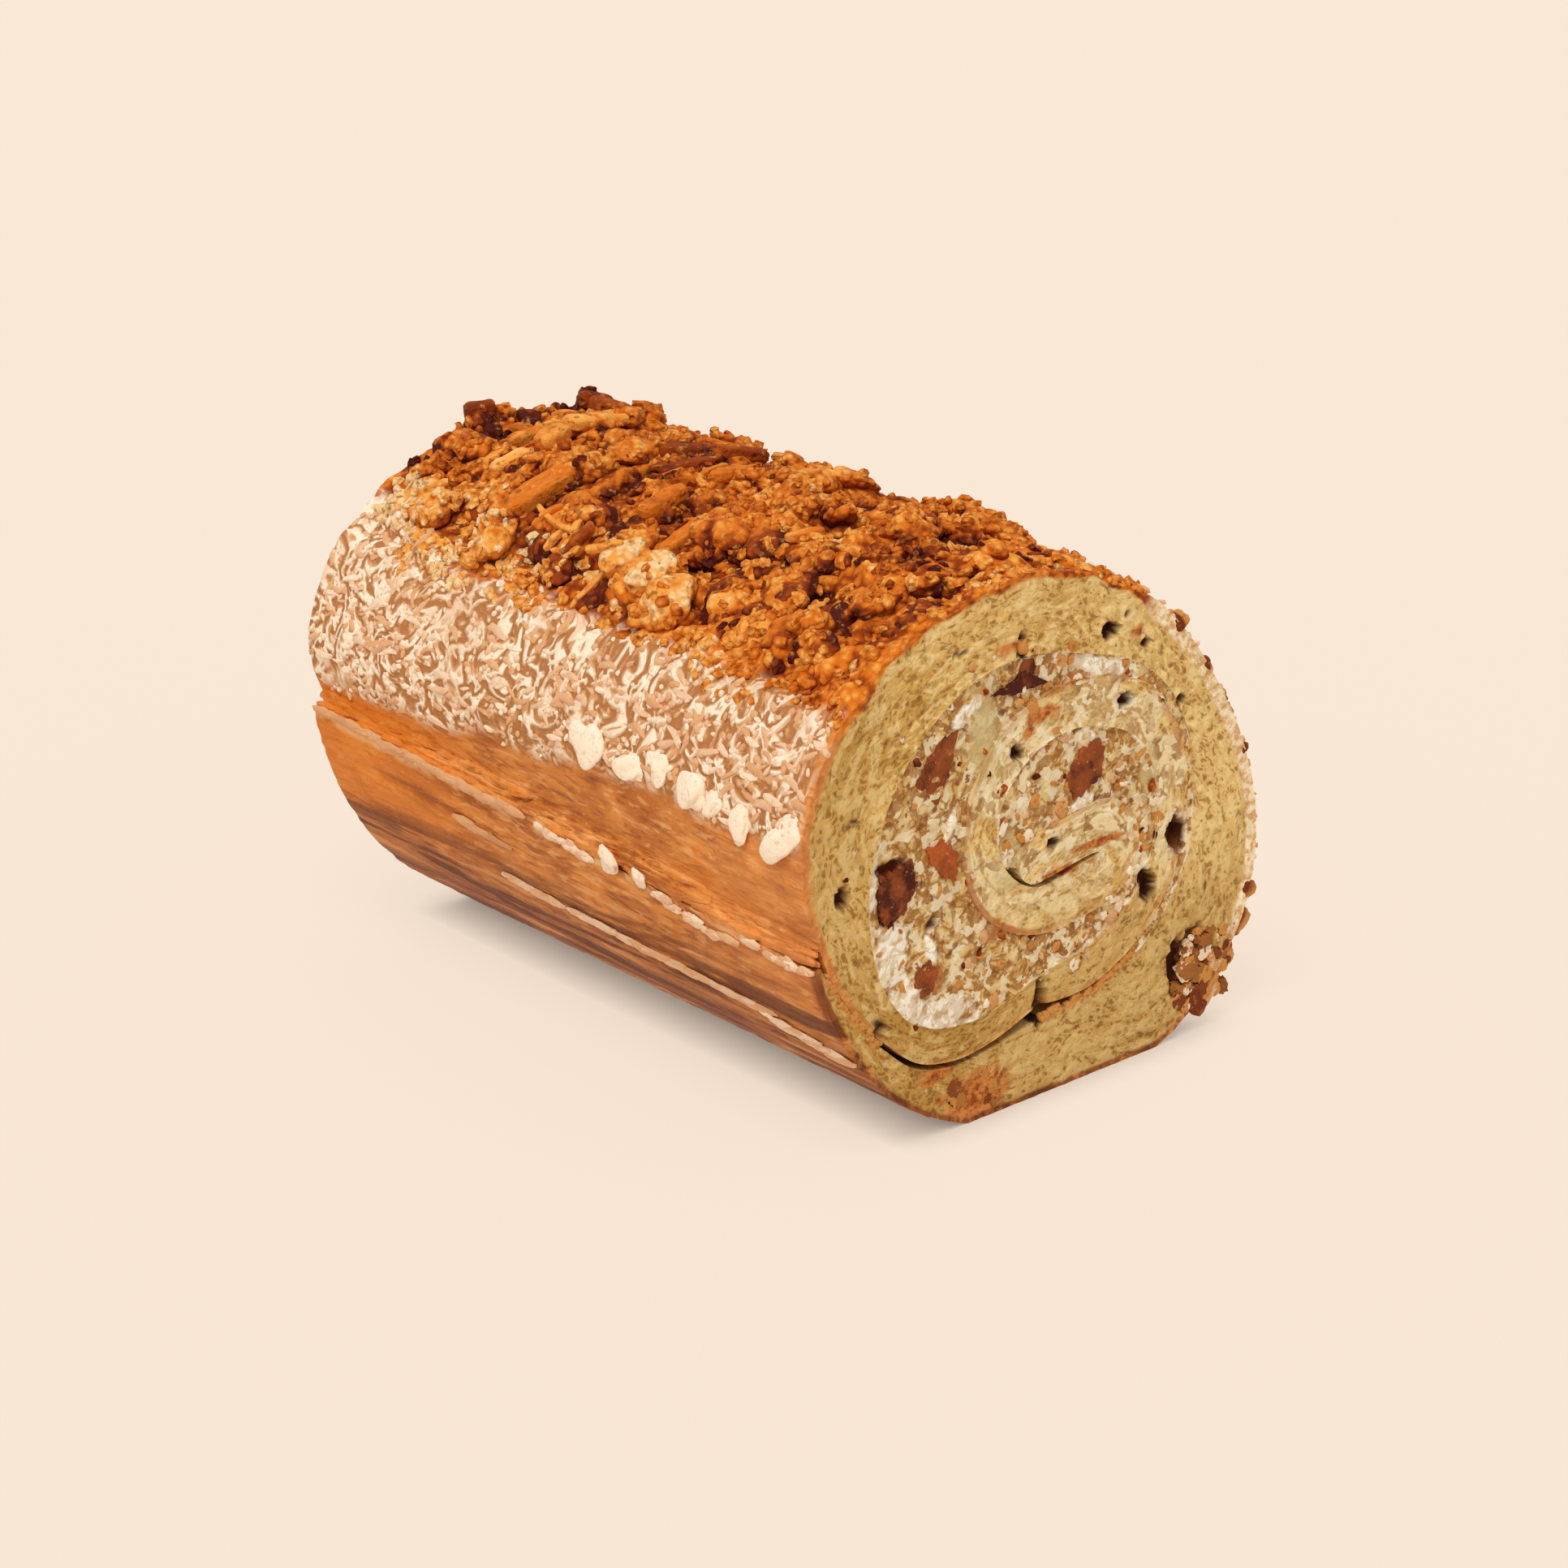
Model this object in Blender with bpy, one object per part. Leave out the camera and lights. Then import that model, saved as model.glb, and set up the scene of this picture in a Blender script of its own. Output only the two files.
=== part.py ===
"""A swiss roll: a sponge sheet rolled round cream and nuts, with a crumb topping.

The roll lies along Y on its flat base, with its cut ends at -Y and +Y.
Up is +Z and the origin is on the base, under the middle of the roll.
"""

import math
import random

import bmesh
import bpy
from mathutils import Vector, noise

MM = 0.001

# The roll as it lies. Its section is a round, sagged a little and flattened where it rests.
LENGTH = 116.4 * MM
ROUND_RADIUS = 42.5
ROUND_CENTRE = (0.0, 37.33)
# (waves round the section, cosine and sine height): how far the section is from a true round
SAG = ((2, 1.37, -3.08), (3, 0.06, -0.83), (4, -0.33, -0.66))

# Where the turns wind round, in the section. Angles run on from turn to turn, in degrees:
# 0 is +X, 90 is up, and the sheet starts at its outer edge, low on the -X side.
EYE = (5.1, 40.0)
TAIL_ANGLE = 190
TAIL_THICKNESS = 1.4
SEAM_GAP = 0.7
TAIL_FEATHER_END = 215
LAST_ANGLE = 990
SINK_SPAN = 16
# The tail's edge runs askew: at the far end it lies this many degrees higher. The sheet is
# twisted so only this many degrees on either side of the tail's edge and of the seam under it.
TAIL_TWIST = 9
TWIST_SPANS = (45, 22)

# (angle, distance from the eye in mm) of the sheet's cream side and of its skin side.
CREAM_SIDE = (
    (215, 41.8), (225, 40.3), (235, 37.0), (243, 33.6), (252, 30.6), (262, 28.6),
    (280, 27.8), (305, 27.6), (330, 27.3), (360, 26.2), (405, 25.8), (435, 25.2),
    (450, 26.1), (470, 29.2), (490, 32.4), (515, 35.2), (540, 37.2), (560, 37.6),
    (572, 36.8), (582, 34.6), (592, 31.0), (602, 26.8), (614, 22.6), (628, 20.6),
    (650, 20.2), (680, 19.8), (720, 18.4), (750, 17.6), (780, 15.4), (810, 14.5),
    (850, 14.2), (880, 14.0), (905, 12.8), (930, 11.0), (960, 8.9), (990, 6.9),
)
SKIN_SIDE = (
    (575, 41.0), (585, 39.4), (595, 35.9), (603, 32.3), (611, 28.9), (618, 26.6),
    (628, 26.2), (640, 26.4), (665, 26.1), (690, 25.7), (720, 24.6), (765, 24.1),
    (780, 22.9), (795, 22.0), (815, 21.6), (845, 21.4), (875, 20.4), (900, 19.4),
    (915, 19.0), (930, 18.2), (945, 17.1), (960, 16.2), (975, 15.5), (990, 15.1),
)

# The sheet's inner end: it runs on, folds back over itself and ends in a round tongue.
FOLD_TILT = 9
FOLD_RUN = 8.0
FOLD_RADIUS = 8.2
TONGUE_LENGTH = 11.6
TONGUE_THICKNESS = 7.5
TIP_BARE_POINTS = 3

# The turns are a little rounder at the far end.
FAR_WOBBLE = 0.035
FAR_WOBBLE_PHASE = 195

# Cream lies this far from the sponge, and a nut this far from the cream.
CREAM_GAP = 0.4
CREAM_FIRST_ANGLE = 302
CREAM_LAST_ANGLE = 914
NUT_GAP = 0.35

# Nut pieces in the cut cream: (x, z, width, height, turn in degrees, depth), in mm.
NEAR_NUTS = (
    (-19.6, 55.0, 7.2, 8.2, -20, 6.0),
    (9.2, 47.9, 6.6, 8.4, 5, 6.5),
    (-18.6, 41.0, 3.8, 7.2, 40, 5.0),
    (-27.0, 38.8, 6.4, 7.4, 10, 6.0),
    (-4.0, 64.7, 9.4, 3.6, -14, 4.5),
    (-21.4, 24.8, 4.0, 4.6, 30, 4.0),
)
FAR_NUTS = (
    (-24.6, 48.4, 7.4, 6.6, 25, 6.0),
    (-12.6, 60.6, 5.4, 6.6, -35, 5.0),
    (2.4, 47.6, 6.8, 6.0, 20, 6.0),
    (-24.0, 30.6, 5.6, 7.6, -15, 5.5),
)
NUT_CORNERS = 9
# A nut's rings behind its cut face: (share of its depth, share of its width).
NUT_RINGS = ((0.45, 0.94), (0.8, 0.68))
# How far out each corner of a nut may stand, as a share.
NUT_UNEVEN = (0.84, 1.08)

# Crumb topping: (kind, first and last angle, first and last share of the length, rows, columns,
# smallest and largest crumb in mm, share of places used, height as a share of the width,
# room kept at the ends as a share of the width).
TOPPING = (
    ("coarse", 61, 143, 0.06, 0.99, 7, 14, 5.2, 8.4, 0.84, 0.62, 0.35),
    ("fine", 63, 147, 0.05, 0.99, 8, 15, 2.8, 4.2, 0.50, 0.80, 0.30),
    ("stray", -38, 54, 0.03, 0.96, 6, 8, 2.0, 3.2, 0.62, 0.80, 0.72),
    ("foot", -54, -34, 0.00, 0.05, 4, 2, 3.6, 5.2, 1.00, 0.95, 0.15),
    ("rim", -30, 56, 0.00, 0.02, 9, 1, 2.0, 3.4, 0.70, 0.95, 0.15),
)
# Larger crumbs that stand out: (angle, share of the length, width, height as a share of it).
SINGLE_CRUMBS = (
    (113.5, 0.975, 6.6, 1.00), (84.0, 0.970, 8.4, 0.95), (141.0, 0.588, 6.6, 0.60),
    (137.5, 0.385, 6.0, 0.60), (138.0, 0.110, 4.8, 0.60), (136.5, 0.640, 5.6, 0.60),
)
# Share of a place's cell that a crumb may stray by, and how far its middle lies off the crust.
TOPPING_JITTER = 0.42
TOPPING_LIFT = 0.06
# How much a crumb's shape is pushed out and in, and how many bulges it has across.
CRUMB_BULGE = 0.55
CRUMB_BULGES = 1.7
# Crumbs by the near end are this much smaller, up to this share of the length.
NEAR_SMALLER = 0.5
NEAR_SMALLER_END = 0.2
# No crumb comes closer to the plane of a cut end than this, in mm.
END_ROOM = 0.05

# The bed of icing on the -X shoulder: its angles, how softly it begins and ends, how many more
# degrees it spans at the far end, how uneven its lower edge is, and its thickness in mm.
ICING_ANGLES = (145, 169.5)
ICING_FADES = (4.0, 6.0)
ICING_FAR_SPREAD = 6.0
ICING_SPREADS_FROM, ICING_SPREAD_RATE = 0.3, 1.6
ICING_WAVE = 1.6
ICING_WAVES_ALONG = 9.0
ICING_THICKNESS = 0.9
# Lumps of white icing along the lower edge of the icing: (share of the length, angle, width).
ICING_LUMPS = (
    (0.036, 168.0, 6.2), (0.112, 169.0, 4.8), (0.160, 167.0, 3.8), (0.200, 167.0, 6.8),
    (0.262, 165.5, 4.0), (0.315, 167.0, 5.2), (0.398, 166.0, 6.0),
)
ICING_LUMP_HEIGHT = 0.36

# The craggy strip on top: (first angle, last angle), its depth in mm, the size of its crags, the
# share of the smaller crags' size, and how it fades at its edges (degrees) and at the cut ends.
CRAG_ANGLES = (56, 152)
CRAG_DEPTH = 1.6
CRAG_SIZE = 9.0
SMALL_CRAGS = 0.45
CRAG_MEAN = 0.25
CRAG_FADE = 12.0
CRAG_AT_ENDS = 0.35
CRAG_END_FADE = 0.083
# The skin is cut along the roll between these angles, in this many steps, to carry its relief.
RELIEF_ANGLES = (56, 181)
RELIEF_STEPS = 30

SEED = 7


def start_empty():
    for old in list(bpy.data.objects):
        bpy.data.objects.remove(old)


def material(name, colour, roughness):
    made = bpy.data.materials.new(name)
    made.use_nodes = True
    shader = made.node_tree.nodes["Principled BSDF"]
    shader.inputs["Base Color"].default_value = (*colour, 1.0)
    shader.inputs["Roughness"].default_value = roughness
    shader.inputs["Metallic"].default_value = 0.0
    made.diffuse_color = (*colour, 1.0)
    return made


def ease(share):
    """0 to 1 with a soft start and end."""
    held = min(max(share, 0.0), 1.0)
    return held * held * (3.0 - 2.0 * held)


def smooth(stations, angle):
    """The value at an angle on the smooth curve through (angle, value) stations."""
    last = len(stations) - 1
    angle = min(max(angle, stations[0][0]), stations[last][0])
    here = next(i for i in range(last) if angle <= stations[i + 1][0])

    def slope(i):
        before, after = stations[max(i - 1, 0)], stations[min(i + 1, last)]
        return (after[1] - before[1]) / (after[0] - before[0])

    (a, start), (b, end) = stations[here], stations[here + 1]
    span = b - a
    u = (angle - a) / span
    lift = (2 * u ** 3 - 3 * u ** 2 + 1) * start + (3 * u ** 2 - 2 * u ** 3) * end
    lift += (u ** 3 - 2 * u ** 2 + u) * slope(here) * span
    return lift + (u ** 3 - u ** 2) * slope(here + 1) * span


def round_radius(angle):
    """Radius of the section about its own centre, angle in radians."""
    return ROUND_RADIUS + sum(c * math.cos(n * angle) + s * math.sin(n * angle) for n, c, s in SAG)


def outline(angle):
    """Distance from the eye to the outside of the roll, along a ray at this angle."""
    across, up = math.cos(math.radians(angle)), math.sin(math.radians(angle))
    near, far = 0.0, 2.0 * ROUND_RADIUS
    for _ in range(40):
        middle = (near + far) / 2
        x, z = EYE[0] + middle * across, EYE[1] + middle * up
        dx, dz = x - ROUND_CENTRE[0], z - ROUND_CENTRE[1]
        if z > 0.0 and math.hypot(dx, dz) < round_radius(math.atan2(dz, dx)):
            near = middle
        else:
            far = middle
    return near


def in_section(angle, distance):
    turn = math.radians(angle)
    return (EYE[0] + distance * math.cos(turn), EYE[1] + distance * math.sin(turn))


class Spiral:
    """The sheet's two sides in one cut across the roll. far is 0 at -Y and 1 at +Y."""

    def __init__(self, far):
        self.far = far
        self.tail = TAIL_ANGLE - TAIL_TWIST * far

    def wobble(self, angle):
        wave = math.sin(2 * math.radians(angle - FAR_WOBBLE_PHASE))
        return 1.0 + FAR_WOBBLE * self.far * wave

    def cream_side(self, angle):
        if angle >= TAIL_FEATHER_END:
            return smooth(CREAM_SIDE, angle) * self.wobble(angle)
        full = outline(TAIL_FEATHER_END) - self.cream_side(TAIL_FEATHER_END)
        share = (angle - self.tail) / (TAIL_FEATHER_END - self.tail)
        return outline(angle) - TAIL_THICKNESS - (full - TAIL_THICKNESS) * share

    def skin_side(self, angle):
        seam = self.tail + 360
        if angle <= seam:
            sunk = ease((angle - seam + SINK_SPAN) / SINK_SPAN)
            return outline(angle) - sunk * (TAIL_THICKNESS + SEAM_GAP)
        if angle >= SKIN_SIDE[0][0]:
            return smooth(SKIN_SIDE, angle) * self.wobble(angle)
        under_tail = [
            (seam - 8, self.skin_side(seam - 8)),
            (seam, self.skin_side(seam)),
            (seam + 10, self.cream_side(self.tail + 10) - SEAM_GAP),
        ]
        inward = [(a, r * self.wobble(a)) for a, r in SKIN_SIDE[:2]]
        return smooth(under_tail + inward, angle)

    def fold(self):
        """The folded end: (its outer side, its inner side), both from the last angle on."""
        foot = in_section(LAST_ANGLE, self.skin_side(LAST_ANGLE))
        thick = self.skin_side(LAST_ANGLE) - self.cream_side(LAST_ANGLE)
        tilt = math.radians(FOLD_TILT)
        along, up = (math.cos(tilt), math.sin(tilt)), (-math.sin(tilt), math.cos(tilt))
        centre = [foot[i] + FOLD_RUN * along[i] + FOLD_RADIUS * up[i] for i in (0, 1)]

        def place(a, b):
            return tuple(centre[i] + a * along[i] + b * up[i] for i in (0, 1))

        def arc(middle, radius, angles):
            turns = [math.radians(angle) for angle in angles]
            return [
                place(middle[0] + radius * math.cos(t), middle[1] + radius * math.sin(t))
                for t in turns
            ]

        top, low = FOLD_RADIUS, FOLD_RADIUS - TONGUE_THICKNESS
        slit_floor = thick - FOLD_RADIUS
        steps = [-TONGUE_LENGTH * k / 4 for k in range(1, 5)]
        outside = arc((0, 0), FOLD_RADIUS, range(-90, 91, 18))
        outside += [place(step, top) for step in steps]
        tip = (steps[-1], (top + low) / 2)
        outside += arc(tip, TONGUE_THICKNESS / 2, range(120, 271, 30))
        slit = (low - slit_floor) / 2
        inside = [place(step, low) for step in reversed(steps[:-1])]
        inside += arc((0, (low + slit_floor) / 2), slit, range(90, -91, -45))
        return outside, inside


def sheet_angles():
    """The angles that the sheet's section has a point at: closer where it bends more."""
    angles = list(range(TAIL_ANGLE, TAIL_ANGLE + 361, 5))
    angles += list(range(angles[-1] + 5, 591, 5))
    angles += list(range(594, 628, 4))
    angles += list(range(634, LAST_ANGLE - 5, 8))
    return angles + [LAST_ANGLE]


def twisted(angle, far):
    """The angle at which a point of the sheet lies when the tail's edge runs askew."""
    off_tail, off_seam = abs(angle - TAIL_ANGLE), abs(angle - TAIL_ANGLE - 360)
    share = max(0.0, 1.0 - off_tail / TWIST_SPANS[0], 1.0 - off_seam / TWIST_SPANS[1])
    return angle - TAIL_TWIST * far * share


def sheet_section(far):
    """The sheet's closed section, with the angle of each point on the outside of the roll."""
    spiral = Spiral(far)
    angles = [twisted(angle, far) for angle in sheet_angles()]
    skin = [in_section(angle, spiral.skin_side(angle)) for angle in angles]
    cream = [in_section(angle, spiral.cream_side(angle)) for angle in angles]
    outside, inside = spiral.fold()
    points = skin + outside[1:] + inside + cream[::-1]
    outer_angles = [angle if angle <= spiral.tail + 360 else None for angle in angles]
    return points, outer_angles + [None] * (len(points) - len(angles))


def offset(path, distance):
    """The path moved sideways: to its left where the distance is positive."""
    moved = []
    for i, (x, z) in enumerate(path):
        before, after = path[max(i - 1, 0)], path[min(i + 1, len(path) - 1)]
        dx, dz = after[0] - before[0], after[1] - before[1]
        size = math.hypot(dx, dz)
        moved.append((x - distance * dz / size, z + distance * dx / size))
    return moved


def cream_section(far):
    """The closed section of the cream: it fills the space between the turns."""
    spiral = Spiral(far)
    spacing = list(range(CREAM_FIRST_ANGLE, LAST_ANGLE - 360, 7)) + [LAST_ANGLE - 360]
    outer = list(range(CREAM_FIRST_ANGLE, CREAM_LAST_ANGLE, 7)) + [CREAM_LAST_ANGLE]
    under = [in_section(angle, spiral.cream_side(angle)) for angle in outer]
    over = [in_section(angle + 360, spiral.skin_side(angle + 360)) for angle in spacing]
    folded = spiral.fold()[0]
    over += folded[1:-TIP_BARE_POINTS]
    return offset(under, CREAM_GAP) + offset(over, -CREAM_GAP)[::-1]


def craggy(point, angle, share):
    """How far the topping strip stands out at a point of the skin, in mm."""
    first, last = CRAG_ANGLES
    if not first < angle % 360 < last:
        return 0.0
    edge = min(angle % 360 - first, last - angle % 360) / CRAG_FADE
    rough = noise.noise(Vector(point) / (CRAG_SIZE * MM)) * 2.0
    rough += noise.noise(Vector(point) / (SMALL_CRAGS * CRAG_SIZE * MM))
    ends = CRAG_AT_ENDS + (1.0 - CRAG_AT_ENDS) * ease(min(share, 1.0 - share) / CRAG_END_FADE)
    return CRAG_DEPTH * ease(edge) * ends * (rough - CRAG_MEAN)


def icing_bed(angle, share):
    """How far the bed of icing stands out at a place on the skin, in mm."""
    first, last = ICING_ANGLES
    last += ICING_FAR_SPREAD * ease((share - ICING_SPREADS_FROM) * ICING_SPREAD_RATE)
    last += ICING_WAVE * noise.noise(Vector((share * ICING_WAVES_ALONG, 5.0, 1.0)))
    begun = ease((angle % 360 - first) / ICING_FADES[0])
    left = ease((last - angle % 360) / ICING_FADES[1] + 0.5)
    return ICING_THICKNESS * begun * left


def relief(point, angle, share):
    return craggy(point, angle, share) + icing_bed(angle, share)


def extrude_section(name, near, far, near_angles=None, far_angles=None):
    """A closed mesh between the near and the far section, with relief where angles say so."""
    mesh = bpy.data.meshes.new(name)
    body = bmesh.new()
    columns = []
    for i, ((x0, z0), (x1, z1)) in enumerate(zip(near, far)):
        start = near_angles[i] if near_angles else None
        carved = start is not None and RELIEF_ANGLES[0] < start % 360 < RELIEF_ANGLES[1]
        steps = RELIEF_STEPS if carved else 1
        column = []
        for k in range(steps + 1):
            share = k / steps
            x, z = x0 + (x1 - x0) * share, z0 + (z1 - z0) * share
            point = (x * MM, LENGTH * (share - 0.5), z * MM)
            lift = 0.0
            if carved:
                lift = relief(point, start + (far_angles[i] - start) * share, share) * MM
            out = Vector((x - EYE[0], 0.0, z - EYE[1])).normalized()
            column.append(body.verts.new(Vector(point) + out * lift))
        columns.append(column)
    for here, after in zip(columns, columns[1:] + columns[:1]):
        if len(here) == len(after):
            for k in range(len(here) - 1):
                body.faces.new((here[k], here[k + 1], after[k + 1], after[k]))
        else:
            body.faces.new(here + after[::-1])
    body.faces.new([column[0] for column in columns])
    body.faces.new([column[-1] for column in reversed(columns)])
    bmesh.ops.recalc_face_normals(body, faces=body.faces)
    bmesh.ops.triangulate(body, faces=body.faces)
    body.to_mesh(mesh)
    body.free()
    return add_object(name, mesh)


def add_object(name, mesh, collection=None):
    made = bpy.data.objects.new(name, mesh)
    (collection or bpy.context.scene.collection).objects.link(made)
    return made


def boolean(target, operation, cutters):
    """Joins the collection to the target, or cuts it away, and applies the result."""
    change = target.modifiers.new(operation.title(), "BOOLEAN")
    change.operation = operation
    change.operand_type = "COLLECTION"
    change.collection = cutters
    change.solver = "EXACT"
    graph = bpy.context.evaluated_depsgraph_get()
    result = bpy.data.meshes.new_from_object(target.evaluated_get(graph))
    target.modifiers.clear()
    target.data = result
    for helper in list(cutters.objects):
        bpy.data.objects.remove(helper)
    bpy.data.collections.remove(cutters)


def drop_scraps(target):
    """Leaves only the largest body of a mesh, so that no loose scrap stays."""
    body = bmesh.new()
    body.from_mesh(target.data)
    unseen, islands = set(body.verts), []
    while unseen:
        island, edge_of_search = set(), [unseen.pop()]
        while edge_of_search:
            vert = edge_of_search.pop()
            island.add(vert)
            linked = {edge.other_vert(vert) for edge in vert.link_edges} & unseen
            unseen -= linked
            edge_of_search.extend(linked)
        islands.append(island)
    islands.sort(key=len)
    for scrap in islands[:-1]:
        bmesh.ops.delete(body, geom=list(scrap), context="VERTS")
    body.to_mesh(target.data)
    body.free()
    return len(islands) - 1


def helper_collection(name):
    made = bpy.data.collections.new(name)
    bpy.context.scene.collection.children.link(made)
    return made


def on_skin(angle, share):
    """A point on the roll's skin, and the direction straight out from it."""
    x, z = in_section(angle, outline(angle))
    (x0, z0), (x1, z1) = (in_section(angle + d, outline(angle + d)) for d in (-2, 2))
    out = Vector((z1 - z0, 0.0, x0 - x1)).normalized()
    return Vector((x * MM, LENGTH * (share - 0.5), z * MM)), out


def crumb(name, collection, draw, place, out, size, squash):
    """An angular crumb of low height: a round of few faces, pushed out of shape."""
    body = bmesh.new()
    bmesh.ops.create_icosphere(body, subdivisions=1, radius=size / 2)
    turn = Vector((draw.random(), draw.random(), draw.random())) * 2 * math.pi
    stretch = Vector((draw.uniform(0.9, 1.3), draw.uniform(0.8, 1.15), squash))
    facing = out.to_track_quat("Z", "Y")
    spin = draw.uniform(0, math.pi)
    for vert in body.verts:
        bump = 1.0 + CRUMB_BULGE * noise.noise(vert.co / size * CRUMB_BULGES + turn * 3)
        shape = Vector(vert.co[i] * stretch[i] * bump for i in range(3))
        turned = Vector((
            shape.x * math.cos(spin) - shape.y * math.sin(spin),
            shape.x * math.sin(spin) + shape.y * math.cos(spin),
            shape.z,
        ))
        vert.co = place + facing @ turned
        end = LENGTH / 2 - END_ROOM * MM
        vert.co.y = min(max(vert.co.y, -end), end)
    mesh = bpy.data.meshes.new(name)
    body.to_mesh(mesh)
    body.free()
    return add_object(name, mesh, collection)


def scatter_topping(collection):
    """Crumbs on a jittered grid, the largest kind first, then the single ones."""
    draw = random.Random(SEED)
    count = 0
    for kind, a0, a1, y0, y1, rows, columns, small, large, used, squash, room in TOPPING:
        for row in range(rows):
            for column in range(columns):
                jitter = [draw.uniform(-TOPPING_JITTER, TOPPING_JITTER) for _ in range(2)]
                size = draw.uniform(small, large)
                if draw.random() > used:
                    continue
                angle = a0 + (a1 - a0) * (row + 0.5 + jitter[0]) / rows
                share = y0 + (y1 - y0) * (column + 0.5 + jitter[1]) / columns
                if kind in ("coarse", "fine"):
                    size *= 1.0 - NEAR_SMALLER * (1.0 - ease(share / NEAR_SMALLER_END))
                kept = room * size * MM / LENGTH
                share = min(max(share, kept), 1.0 - kept)
                place, out = on_skin(angle, share)
                seat = place + out * (relief(place, angle, share) + TOPPING_LIFT * size) * MM
                crumb(f"{kind}_{count}", collection, draw, seat, out, size * MM, squash)
                count += 1
    for i, (angle, share, width, squash) in enumerate(SINGLE_CRUMBS):
        place, out = on_skin(angle, share)
        seat = place + out * relief(place, angle, share) * MM
        crumb(f"single_{i}", collection, draw, seat, out, width * MM, squash)


def add_icing_lumps(collection):
    draw = random.Random(SEED + 1)
    for i, (share, angle, width) in enumerate(ICING_LUMPS):
        place, out = on_skin(angle, share)
        seat = place + out * icing_bed(angle, share) * MM
        crumb(f"lump_{i}", collection, draw, seat, out, width * MM, ICING_LUMP_HEIGHT)


def make_sponge():
    near, near_angles = sheet_section(0.0)
    far, far_angles = sheet_section(1.0)
    sheet = extrude_section("sponge_sheet", near, far, near_angles, far_angles)
    topping = helper_collection("topping")
    scatter_topping(topping)
    add_icing_lumps(topping)
    boolean(sheet, "UNION", topping)
    print("sponge_sheet scraps dropped:", drop_scraps(sheet))
    sheet.data.materials.clear()
    sheet.data.materials.append(material("sponge", (0.62, 0.36, 0.13), 0.85))
    return sheet


def nut_rings(shape, seed, grow, front):
    """Rings of (x, y, z) for one nut piece, from its cut face inwards, y counted inwards."""
    x, z, width, height, turn, depth = shape
    draw = random.Random(seed)
    spread = [draw.uniform(*NUT_UNEVEN) for _ in range(NUT_CORNERS)]
    tilt = math.radians(turn)
    rings = []
    for inward, size in ((-front, 1.0), *((share * depth, size) for share, size in NUT_RINGS)):
        ring = []
        for i in range(NUT_CORNERS):
            angle = 2 * math.pi * i / NUT_CORNERS
            a = (width / 2 * spread[i] * size + grow) * math.cos(angle)
            b = (height / 2 * spread[i] * size + grow) * math.sin(angle)
            across = x + a * math.cos(tilt) - b * math.sin(tilt)
            up = z + a * math.sin(tilt) + b * math.cos(tilt)
            ring.append((across, inward + (grow if inward > 0 else 0), up))
        rings.append(ring)
    return rings, (x, depth + grow, z)


def nut_mesh(name, shape, seed, end, grow=0.0, front=0.0):
    """A nut piece flush with the cut end: end is -1 for the near end and 1 for the far."""
    rings, tip = nut_rings(shape, seed, grow, front)
    body = bmesh.new()

    def vert(point):
        return body.verts.new((point[0] * MM, end * (LENGTH / 2 - point[1] * MM), point[2] * MM))

    loops = [[vert(point) for point in ring] for ring in rings]
    last = vert(tip)
    count = len(loops[0])
    body.faces.new(loops[0])
    for here, after in zip(loops, loops[1:]):
        for i in range(count):
            j = (i + 1) % count
            body.faces.new((here[i], here[j], after[j], after[i]))
    for i in range(count):
        body.faces.new((loops[-1][i], loops[-1][(i + 1) % count], last))
    bmesh.ops.recalc_face_normals(body, faces=body.faces)
    mesh = bpy.data.meshes.new(name)
    body.to_mesh(mesh)
    body.free()
    return mesh


def make_filling():
    cream = extrude_section("cream_filling", cream_section(0.0), cream_section(1.0))
    nut_brown = material("nut", (0.16, 0.045, 0.015), 0.6)
    pockets = helper_collection("pockets")
    for end, side, nuts in ((-1, "near", NEAR_NUTS), (1, "far", FAR_NUTS)):
        for i, shape in enumerate(nuts, 1):
            name = f"nut_{side}_{i}"
            seed = SEED * 100 + end * 20 + i
            nut = add_object(name, nut_mesh(name, shape, seed, end))
            nut.data.materials.append(nut_brown)
            pocket = nut_mesh(f"pocket_{side}_{i}", shape, seed, end, NUT_GAP, 2.0)
            add_object(f"pocket_{side}_{i}", pocket, pockets)
    boolean(cream, "DIFFERENCE", pockets)
    cream.data.materials.clear()
    cream.data.materials.append(material("cream", (0.72, 0.55, 0.36), 0.5))


start_empty()
make_sponge()
make_filling()
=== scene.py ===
# %% [markdown]
# # A swiss roll, piece by piece
# A swiss roll is one flat sheet of sponge, spread with cream and nuts and rolled up.
# This lesson makes it the same way: a flat grid is modelled first and then rolled.
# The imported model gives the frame: every piece below stays inside its box.

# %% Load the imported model
import math
import random

import bmesh
import bpy
import numpy as np
from mathutils import Matrix, Vector, noise
from mathutils.bvhtree import BVHTree


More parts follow.
